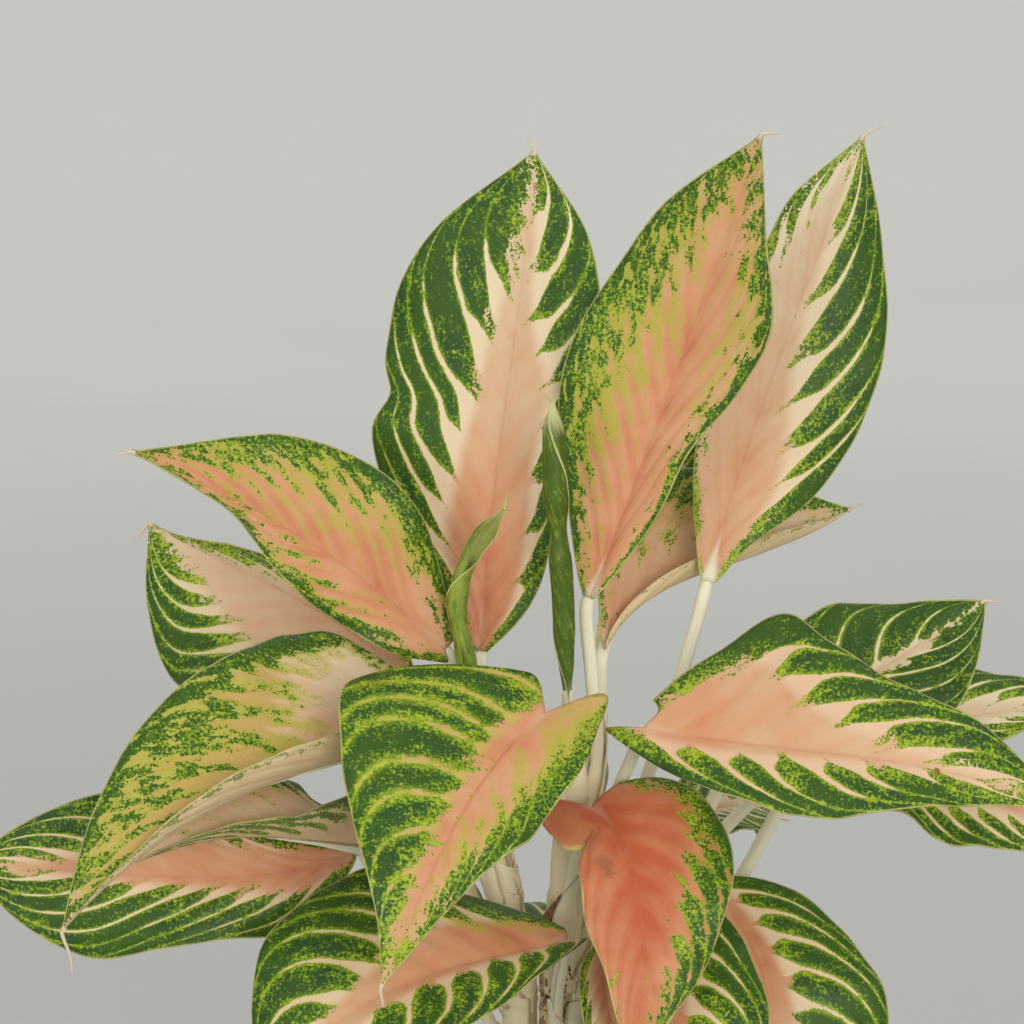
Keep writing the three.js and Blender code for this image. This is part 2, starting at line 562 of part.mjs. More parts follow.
addPiece('pot', potGeometry(), 'pot', 0.35);
addPiece('soil', soilGeometry(), 'soil', 0.95);
for (const cane of Object.keys(CANES)) {
  addPiece(`stems_${cane}`, toGeometry(caneSolid(cane)), 'stalk', 0.5);
}
for (const [name, leaf] of Object.entries(LEAVES)) {
  addPiece(name, bladeGeometry(leaf), leaf.colour, 0.45);
}
for (const [name, young] of Object.entries(YOUNG_LEAVES)) {
  addPiece(name, youngLeafGeometry(young), 'young', 0.45);
}

export default plant;
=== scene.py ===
"""A potted Chinese evergreen: patterned leaves on pale stalks, canes, soil and a plain glazed pot.

Blender works in metres with +Z up. The origin is the middle of the pot's underside and -Y is the plant's
front. The leaf table repeats the frame's own dimensions in millimetres, and MM turns them into metres.
"""
import math
import random

import bmesh
import bpy
from mathutils import Matrix, Vector, noise


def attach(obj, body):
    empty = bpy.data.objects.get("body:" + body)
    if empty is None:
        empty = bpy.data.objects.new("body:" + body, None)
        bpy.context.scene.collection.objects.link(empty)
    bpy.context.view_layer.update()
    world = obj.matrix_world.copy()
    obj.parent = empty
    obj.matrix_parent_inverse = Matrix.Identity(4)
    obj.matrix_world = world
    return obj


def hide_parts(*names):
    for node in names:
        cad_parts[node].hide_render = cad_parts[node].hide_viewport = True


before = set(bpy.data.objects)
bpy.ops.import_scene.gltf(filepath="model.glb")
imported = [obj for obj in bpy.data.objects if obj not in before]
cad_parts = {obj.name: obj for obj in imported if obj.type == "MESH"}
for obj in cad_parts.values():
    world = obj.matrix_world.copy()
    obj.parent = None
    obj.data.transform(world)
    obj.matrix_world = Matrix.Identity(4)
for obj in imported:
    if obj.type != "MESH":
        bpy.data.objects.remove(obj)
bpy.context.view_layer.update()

MM = 0.001

# ---------- driving dimensions, in millimetres ----------
POT_HEIGHT = 150
POT_RIM_RADIUS = 90
POT_BASE_RADIUS = 64
POT_WALL = 4.5
POT_FLOOR = 6
POT_LIP_HEIGHT = 16
POT_LIP_STEP = 2.5
DRAIN_HOLES = 3
DRAIN_RADIUS = 5
DRAIN_RING_RADIUS = 30
SOIL_TOP = 138
SOIL_CROWN = 5

BLADE_THICKNESS = 0.55
TIP_HALF_WIDTH = 0.9
BASE_FLARE = 1.3  # how much faster than the next stations a blade widens at its base
HALF_SHIFT = 0.35  # of a wave, between the two halves
NICK_SPREAD = 0.045  # of the blade's length
BLADE_ROWS = 72
BLADE_COLUMNS = 34
THREAD_SIDES = 8
TAIL_STEPS = 14
QUILT_HEIGHT = 0.7  # how far the blade swells between two side veins
RIB_GROOVE = 0.5  # depth of the channel over the midrib
RIB_GROOVE_WIDTH = 2.2
RIPPLE = 0.7  # small ruffles at the margin
RIPPLES = 7

STALK_SIDES = 20
STALK_STEP = 3
STALK_TOP_RADIUS = 2.8
STALK_END = 0.1  # its radius where it fades into the blade
SET_BACK = 3  # from a blade's base to where its stalk meets it, along the midrib
SET_DOWN = 2.4  # and below it
LOBE_TUCK = 1.6  # how much deeper and further in the stalk meets a blade with lobes
MIDRIB_DROPS = [(0.03, 3.0), (0.12, 2.3), (0.28, 1.4), (0.5, 0.7)]  # place along the blade, and depth
SHEATH_RADIUS = 6.6
SHEATH_SHARE = 0.35
SHEATH_TAPER = 0.7
SHEATH_REACH = 0.5  # how far up the stalk its open sheath goes
SHEATH_COLUMNS = 22
SHEATH_ROWS = 26
SHEATH_THICKNESS = 0.4
SHEATH_SKIN = 0.35  # from the stalk's surface to the middle of its sheath
SHEATH_LIFT = 0.7  # how far the sheath's rims stand off the stalk
CLASP_COLUMNS = 40
CLASP_ROWS = 12
CLASP_FOOT = 6  # how far an old sheath's foot goes below its stalk
CLASP_RISE = 20  # and above it
CLASP_WRAP = 172  # degrees to each side
CLASP_THICKNESS = 0.5
HUSK_FLAKES = 46
SCAR_SIDES = (-7, 5)  # the flaky scar's reach across and up the middle cane
SCAR_HEIGHTS = (190, 214)
WEDGE_PLACE = (-3, -14, 239)
CANE_SIDES = 36
CANE_STEP = 1.5
CANE_RADIUS = 7.5
CANE_TOP_RADIUS = 6
CANE_FOOT = 98
NODE_SPACING = 15  # between the ring scars on a cane

ROLL_COLUMNS = 64
ROLL_ROWS = 110
ROLL_THICKNESS = 0.3
ROLL_INNER = 0.4  # the inner end of a rolled leaf, as a share of its radius
ROLL_TAIL_STEPS = 12

SOIL_DEPTH = 25  # of the disc that stands for the soil's surface
SOIL_COLUMNS = 150
BARK_BITS = 300
PERLITE_BITS = 90
WELD = 0.01  # points nearer than this are one

# ---------- the camera's view ----------
CAMERA_ELEVATION = 10  # degrees
CAMERA_TARGET = (-19.2, 0, 400)
CAMERA_DISTANCE = 1300
FRAME_WIDTH = 409.6  # what the frame takes in at the target
SENSOR = 36

# ---------- the stage, in metres and watts ----------
FLOOR_RADIUS = 4.0
BACKDROP_RADIUS = 6.5
BACKDROP_HEIGHT = 3.0
BACKDROP_STEPS = 12
SKY_STRENGTH = 0.85
SKY_COLOUR = (1.0, 0.99, 0.97)
LIGHT_SPREAD = 100  # degrees; narrow enough to keep the lamps' edges off the floor
LIGHT_TARGET = (0, 0, 0.35)
LIGHTS = {
    "key": {"place": (0.8, -2.8, 0.95), "size": 1.7, "power": 12, "colour": (1.0, 0.98, 0.95)},
    "fill": {"place": (-1.6, -2.2, 0.75), "size": 1.3, "power": 4, "colour": (0.95, 0.97, 1.0)},
}

# ---------- leaves: their forms ----------
STATIONS = [0, 0.1, 0.25, 0.4, 0.55, 0.7, 0.85, 1]
PLAIN_SHARES = [0.12, 0.45, 0.82, 0.99, 0.96, 0.78, 0.42]


def plain_half(width):
    """Half widths of an ordinary blade at the stations."""
    return [share * width for share in PLAIN_SHARES]


PLAIN_LEAF = {
    "fold": [12, 12], "curl": [20, 20], "lobe": [0, 0], "wave": [3, 2.5, 0], "nick": [0, 0.5, 0],
}

# route: the stalk, from inside its cane. midrib: points passed at 0, 1/3, 2/3 and 1 of its way.
# faces: which way the upper face looks at base and tip. left, right: half widths at the stations.
# tail: the way from the tip to its thread's end. fold: the degrees that each half rises at the midrib, and
# curl: the degrees that it bends back by its margin. lobe: how far its base reaches back. wave: height,
# number and start of the waves. nick: a dent's side, place along the blade and depth.
LEAVES = {
    "top_left": {
        "cane": "left", "route": [[-21, 0, 236], [-27, 2, 285], [-32, 10, 322]],
        "midrib": [[-32, 14, 340], [-26, 26, 407], [-17, 40, 473], [-10, 46, 541]],
        "faces": [[-0.15, -1, 0.1], [-0.15, -1, 0]], "tail": [-3, 0, 6],
        "left": [3, 15, 41, 54, 54, 52, 35], "right": [3, 20, 27, 25, 33, 35, 25],
        "fold": [8, 15], "curl": [25, 10], "wave": [5, 2.6, 0.1], "nick": [0, 0.485, 6],
    },
    "top_centre": {
        "cane": "centre", "route": [[5, -4, 262], [15, -2, 296], [13, 0, 332]],
        "midrib": [[12, 0, 365], [33, 10, 417], [55, 14, 478], [79, 4, 550]],
        "faces": [[-0.1, -1, 0.1], [-0.1, -1, 0]], "tail": [8, -3, 1],
        "left": [3, 14, 28, 41, 44, 37, 26], "right": [2, 8, 15, 18, 29, 33, 17],
        "fold": [5, 35], "curl": [20, 20],
    },
    "top_right": {
        "cane": "centre", "route": [[0, -5, 208], [19, 4, 240], [38, 15, 292], [54, 23, 341]],
        "midrib": [[61, 24, 367], [78, 40, 421], [100, 55, 479], [125, 62, 546]],
        "faces": [[0.1, -1, 0.1], [0.2, -1, 0]], "tail": [9, 0, 5],
        "left": [3, 10, 20, 24, 24, 24, 20], "right": [3, 12, 31, 41, 42, 37, 22],
        "wave": [3, 2.2, 0.6],
    },
    "top_behind": {
        "cane": "centre", "route": [[4, -4, 250], [16, 4, 290], [17, 9, 324]],
        "midrib": [[18, 8, 342], [42, 36, 364], [82, 66, 373], [126, 88, 386]],
        "faces": [[0, -1, 0.3], [0, -1, 0.5]], "tail": [6, 2, 2],
        "left": [3, 8, 26, 40, 42, 34, 20], "right": [3, 9, 15, 18, 19, 16, 10],
        "fold": [10, 20], "curl": [20, -140], "lobe": [-4, 0],
    },
    "left_upper": {
        "cane": "left", "route": [[-23, -1, 245], [-33, -2, 292], [-43, -4, 328]],
        "midrib": [[-46, -6, 345], [-82, -14, 378], [-121, -16, 404], [-170, -10, 426]],
        "faces": [[0, -1, 0.4], [0, -1, 0.3]], "tail": [-7, 2, -2],
        "left": [5, 15, 19, 20, 16, 6, 3], "right": [5, 18, 33, 39, 38, 31, 16],
        "fold": [10, 10], "lobe": [4, 0],
    },
    "left_small": {
        "cane": "left", "route": [[-21, 1, 235], [-42, 8, 285], [-57, 16, 315]],
        "midrib": [[-62, 18, 328], [-99, 44, 350], [-137, 66, 365], [-174, 84, 380]],
        "faces": [[0, -1, 0.5], [-0.2, -1, 0.4]], "tail": [-8, 0, -9],
        "left": [4, 22, 42, 52, 56, 52, 32], "right": [4, 12, 15, 14, 12, 8, 3],
    },
    "left_arching": {
        "cane": "left", "route": [[-22, -1, 240], [-33, -14, 285], [-44, -20, 310]],
        "midrib": [[-48, -20, 321], [-90, -52, 310], [-136, -84, 298], [-189, -100, 257]],
        "faces": [[0, -0.9, 0.6], [-0.3, -1, 0.4]], "tail": [6, -1, -18],
        "left": [4, 11, 20, 22, 19, 13, 6], "right": [20, 50, 58, 56, 52, 42, 24],
        "fold": [75, 8], "curl": [-50, 15], "wave": [2, 2, 0],
    },
    "left_folded": {
        "cane": "left", "route": [[-18, 2, 212], [-44, -8, 245], [-64, -14, 262]],
        "midrib": [[-70, -16, 267], [-101, -36, 275], [-132, -46, 278], [-172, -50, 267]],
        "faces": [[0, -0.4, 1], [-0.2, -1, 0.5]], "tail": [-6, -1, -2],
        "left": [8, 22, 23, 13, 9, 7, 4], "right": [5, 20, 28, 30, 28, 22, 12],
        "fold": [75, 10], "curl": [-50, 20], "wave": [2, 1.6, 0.3],
    },
    "left_lowest": {
        "cane": "left", "route": [[-17, 3, 196], [-50, -14, 240], [-76, -19, 260]],
        "midrib": [[-83, -20, 265], [-124, -26, 257], [-178, -30, 259], [-240, -22, 261]],
        "faces": [[0, -1, 0.3], [0, -1, 0.3]], "tail": [-8, 0, 1],
        "left": [3, 12, 24, 25, 29, 34, 23], "right": [3, 8, 14, 22, 33, 32, 20],
        "wave": [4, 2.2, 0.2],
    },
    "front_heart": {
        "cane": "centre", "route": [[3, -5, 240], [-1, -24, 292], [-6, -38, 318]],
        "midrib": [[-6, -46, 329], [-33, -81, 306], [-51, -108, 278], [-68, -123, 242]],
        "faces": [[0.2, -0.7, 1], [0.1, -1, 0.3]], "tail": [1, 1, -8],
        "left": [20, 28, 28, 27, 19, 12, 6], "right": [24, 50, 66, 55, 39, 24, 10],
        "lobe": [23, 10],
    },
    "front_low_left": {
        "cane": "centre", "route": [[-1, -5, 165], [-1, -20, 205], [2, -34, 228]],
        "midrib": [[3, -40, 235], [-41, -70, 233], [-84, -88, 218], [-112, -84, 172]],
        "faces": [[0, -0.6, 1], [-0.5, -0.8, 0.4]], "tail": [-3, 2, -8],
        "left": [4, 12, 21, 28, 30, 27, 15], "right": [8, 26, 44, 55, 56, 48, 26],
        "lobe": [8, 2],
    },
    "front_red": {
        "cane": "centre", "route": [[0, -6, 220], [5, -20, 255], [10, -33, 279]],
        "midrib": [[12, -38, 289], [28, -66, 271], [30, -84, 240], [28, -92, 198]],
        "faces": [[0, -0.8, 0.8], [0, -1, 0.1]], "tail": [0, -1, -8],
        "left": [16, 31, 39, 38, 31, 24, 12], "right": [21, 22, 21, 22, 21, 14, 8],
        "lobe": [0, 18], "nick": [1, 0.185, 10],
    },
    "right_large": {
        "cane": "centre", "route": [[2, -5, 235], [16, -13, 272], [29, -30, 309]],
        "midrib": [[32, -42, 322], [84, -64, 319], [135, -76, 315], [194, -72, 296]],
        "faces": [[0, -0.9, 0.7], [0, -0.9, 0.7]], "tail": [7, 1, -4],
        "left": [12, 36, 58, 47, 37, 28, 18], "right": [8, 17, 24, 27, 25, 17, 8],
        "lobe": [-4, 14], "wave": [3, 2.5, 0.3],
    },
    "right_dark": {
        "cane": "right", "route": [[14, 15, 194], [42, 13, 240], [62, 11, 276]],
        "midrib": [[70, 10, 290], [112, 28, 315], [148, 42, 335], [178, 48, 354]],
        "faces": [[0, -0.8, 0.8], [0.2, -0.9, 0.7]], "tail": [7, 1, -1],
        "left": [4, 18, 31, 35, 33, 23, 11], "right": [4, 18, 32, 34, 34, 30, 18],
        "wave": [5, 2.2, 0.2],
    },
    "right_far": {
        "cane": "right", "route": [[14, 15, 192], [52, 32, 240], [90, 46, 277]],
        "midrib": [[100, 50, 284], [150, 72, 292], [196, 92, 296], [240, 104, 292]],
        "faces": [[0, -0.8, 0.8], [0.2, -0.9, 0.7]], "tail": [6, 1, -2],
        "left": plain_half(24), "right": plain_half(14),
    },
    "right_under": {
        "cane": "right", "route": [[13, 15, 184], [46, 9, 212], [72, 8, 242], [88, 2, 274]],
        "midrib": [[96, -2, 287], [133, -14, 294], [169, -24, 291], [203, -28, 268]],
        "faces": [[0, -0.8, 0.8], [0.2, -0.9, 0.7]], "tail": [5, -1, -6],
        "left": plain_half(22), "right": [2, 8, 14, 18, 26, 26, 18],
    },
    "right_small": {
        "cane": "right", "route": [[13, 15, 186], [34, 28, 225], [47, 37, 254]],
        "midrib": [[50, 40, 262], [64, 62, 260], [80, 80, 257], [97, 96, 248]],
        "faces": [[0, -0.4, 1], [0.2, -0.6, 1]], "tail": [5, 3, -4],
        "left": plain_half(22), "right": plain_half(24),
    },
    "low_right": {
        "cane": "right", "route": [[12, 14, 175], [38, 4, 215], [56, -11, 242]],
        "midrib": [[59, -14, 250], [79, -38, 224], [83, -52, 196], [86, -58, 158]],
        "faces": [[0, -0.6, 0.8], [0.4, -1, 0.3]], "tail": [4, 0, -7],
        "left": [6, 22, 36, 44, 49, 47, 29], "right": [4, 12, 20, 24, 24, 20, 12],
    },
    "low_front": {
        "cane": "right", "route": [[11, 14, 165], [32, -2, 205], [50, -28, 238]],
        "midrib": [[53, -34, 250], [46, -60, 228], [39, -80, 200], [33, -90, 167]],
        "faces": [[0, -0.6, 0.8], [0, -1, 0.2]], "tail": [0, 0, -6],
        "left": [4, 17, 29, 37, 38, 32, 18], "right": [4, 12, 18, 20, 20, 18, 10],
    },
    "low_narrow": {
        "cane": "centre", "route": [[-1, -6, 170], [8, -14, 200], [17, -25, 221]],
        "midrib": [[19, -28, 229], [18, -46, 214], [23, -58, 193], [28, -64, 164]],
        "faces": [[0, -0.6, 0.8], [0, -1, 0.2]], "tail": [0, 0, -6],
        "left": [3, 9, 16, 20, 21, 18, 10], "right": [3, 8, 10, 11, 11, 10, 6],
    },
    "back_left": {
        "cane": "left", "route": [[-18, 4, 200], [-29, 22, 240], [-38, 41, 262]],
        "midrib": [[-40, 47, 270], [-54, 100, 284], [-64, 150, 276], [-70, 190, 243]],
        "faces": [[0, -0.3, 1], [0, 0.8, 0.6]], "tail": [0, 3, -6],
        "left": plain_half(34), "right": plain_half(34),
    },
    "back_far_left": {
        "cane": "left", "route": [[-17, 4, 190], [-38, 22, 240], [-53, 40, 277]],
        "midrib": [[-58, 45, 286], [-95, 80, 303], [-135, 115, 297], [-165, 145, 262]],
        "faces": [[0, -0.3, 1], [-0.4, 0.4, 0.8]], "tail": [-3, 3, -6],
        "left": plain_half(36), "right": plain_half(36),
    },
    "back_tall": {
        "cane": "centre", "route": [[2, -5, 230], [13, 22, 290], [20, 44, 352]],
        "midrib": [[22, 48, 372], [32, 90, 412], [44, 116, 452], [50, 138, 488]],
        "faces": [[0, -1, 0.5], [0, -1, 1]], "tail": [1, 4, 5],
        "left": plain_half(28), "right": plain_half(32),
    },
    "back_low_left": {
        "cane": "left", "route": [[-15, 5, 156], [-30, 24, 182], [-42, 41, 198]],
        "midrib": [[-45, 45, 202], [-66, 85, 204], [-92, 120, 192], [-114, 150, 162]],
        "faces": [[0, 0, 1], [-0.4, 0.6, 0.6]], "tail": [-3, 3, -6],
        "left": plain_half(34), "right": plain_half(34),
    },
    "back_low_right": {
        "cane": "right", "route": [[11, 14, 155], [28, 26, 184], [38, 33, 199]],
        "midrib": [[40, 35, 205], [72, 72, 205], [100, 105, 185], [120, 130, 150]],
        "faces": [[0, 0, 1], [0.4, 0.6, 0.6]], "tail": [3, 3, -6],
        "left": plain_half(34), "right": plain_half(34),
    },
    "back_centre": {
        "cane": "right", "route": [[10, 14, 152], [9, 26, 172], [8, 37, 183]],
        "midrib": [[8, 42, 186], [10, 92, 198], [12, 140, 194], [14, 184, 170]],
        "faces": [[0, 0, 1], [0, 0.7, 0.6]], "tail": [0, 4, -6],
        "left": plain_half(29), "right": plain_half(29),
    },
}

CANES = {
    "centre": [[0, -4, CANE_FOOT], [-1, -5, 150], [-1, -6, 205], [4, -4, 250], [6, -5, 284]],
    "left": [[-14, 6, CANE_FOOT], [-15, 5, 160], [-18, 3, 215], [-26, -3, 262]],
    "right": [[9, 13, CANE_FOOT], [10, 14, 150], [15, 15, 200]],
}

# radii are taken evenly along the path. opens: the turns of the roll at foot and tip.
YOUNG_LEAVES = {
    "centre": {
        "path": [[6, -6, 290], [3, -8, 329], [1, -8, 370], [-2, -8, 410], [-3, -8, 446]],
        "radii": [2.4, 2.3, 2.0, 1.7, 3.2, 4.0, 4.2, 4.6, 3.3, 5.1, 4.8, 4.2, 0.7],
        "opens": [1.7, 1.4], "twist": [-1.6, 11], "tail": [-4, -1, 2],
    },
    "left": {
        "path": [[-31, -10, 300], [-37, -13, 341], [-41, -13, 366], [-35, -12, 386], [-22, -10, 404]],
        "radii": [2.2, 2.4, 2.8, 3.6, 3.0, 4.2, 3.4, 4.2, 0.5],
        "opens": [1.8, 0.55], "twist": [1.6, 1.6], "tail": [1, 0, 6],
    },
}

# ---------- leaves: their patterns ----------
# A leaf's look is its style's, with its own row's values over them. For each half, the left one first:
# - slants: a side vein runs where t = s (1 + lean q) + slant q + bend q^5, given as (slant, lean, bend),
#   with t along the blade, q the share of the way from midrib to margin, and s the vein's own place.
# - veins: pairs of a vein's s and the q that its pale line reaches.
# - edge, lime: the q where the green and the yellow-green wash begin, at PATTERN_STATIONS of s.
# For the whole blade:
# - pink: how pink the middle zone is at base, middle and tip: 0 cream, 0.35 peach, 0.7 salmon, 1 red.
# - line: a pale line's width in mm. funnel: the share of the way out in which its mouth narrows.
#   line_ragged: how far mottling reaches into it. pale: its colour.
# - grain, patch: how far fine and broad mottling move the green's edge, in mm. cap: the most, in mm, that
#   the way from the edge counts against them, so that a low cap leaves blotches. haze: the soft green
#   round them. flecks: how many pale flecks lie in the green.
# - stem, rib, under: how strongly the stalk's pale end, the midrib and the underside's paleness show.
# - marks: brown scars, each with its place (t, q), radius in mm and depth.
PATTERN_STATIONS = [0, 0.2, 0.4, 0.6, 0.8]
NO_LIME = [1.2, 1.2, 1.2, 1.2, 1.2]
EVEN_VEINS = [(0.03, 0.9), (0.14, 0.85), (0.25, 0.9), (0.37, 0.8), (0.49, 0.85), (0.61, 0.7), (0.74, 0.7)]
SPARSE_VEINS = [(0.05, 0.8), (0.2, 0.85), (0.34, 0.75), (0.5, 0.8), (0.66, 0.6)]

STYLES = {
    "dark": {
        "slot": "leaf_dark", "pink": [0.55, 0.36, 0.1], "grain": 10, "patch": 14, "cap": 60,
        "flecks": 0.7, "line": 2.2, "funnel": 0.2, "line_ragged": 0.14, "haze": 0.0, "pale": "cream",
        "edge": [[0.35, 0.22, 0.16, 0.12, 0.06]] * 2, "lime": [NO_LIME] * 2,
    },
    "pink": {
        "slot": "leaf_pink", "pink": [0.5, 0.24, 0.0], "grain": 14, "patch": 20, "cap": 60,
        "flecks": 1.0, "line": 3.8, "funnel": 0.22, "line_ragged": 0.12, "haze": 0.0, "pale": "cream",
        "edge": [[0.6, 0.42, 0.3, 0.18, 0.08]] * 2, "lime": [NO_LIME] * 2,
    },
    "lime": {
        "slot": "leaf_lime", "pink": [0.62, 0.55, 0.5], "grain": 22, "patch": 40, "cap": 0.8,
        "flecks": 0.4, "line": 4.5, "funnel": 0.3, "line_ragged": 0.5, "haze": 0.8, "pale": "salmon",
        "edge": [[0.7, 0.65, 0.55, 0.45, 0.35]] * 2, "lime": [[0.5, 0.4, 0.28, 0.2, 0.1]] * 2,
    },
    "red": {
        "slot": "leaf_red", "pink": [1.0, 0.92, 0.82], "grain": 16, "patch": 28, "cap": 9,
        "flecks": 0.8, "line": 2.4, "funnel": 0.3, "line_ragged": 0.4, "haze": 0.5, "pale": "salmon",
        "edge": [[0.78, 0.5, 0.42, 0.45, 0.55], [1.6, 1.25, 1.02, 0.94, 0.8]],
        "lime": [NO_LIME] * 2,
    },
}
PLAIN_LOOK = {
    "slants": [(0.25, 0.2, 0.15)] * 2, "veins": [EVEN_VEINS] * 2, "marks": [], "stem": 0.15, "under": 0.7,
    "rib": 0.3,
}

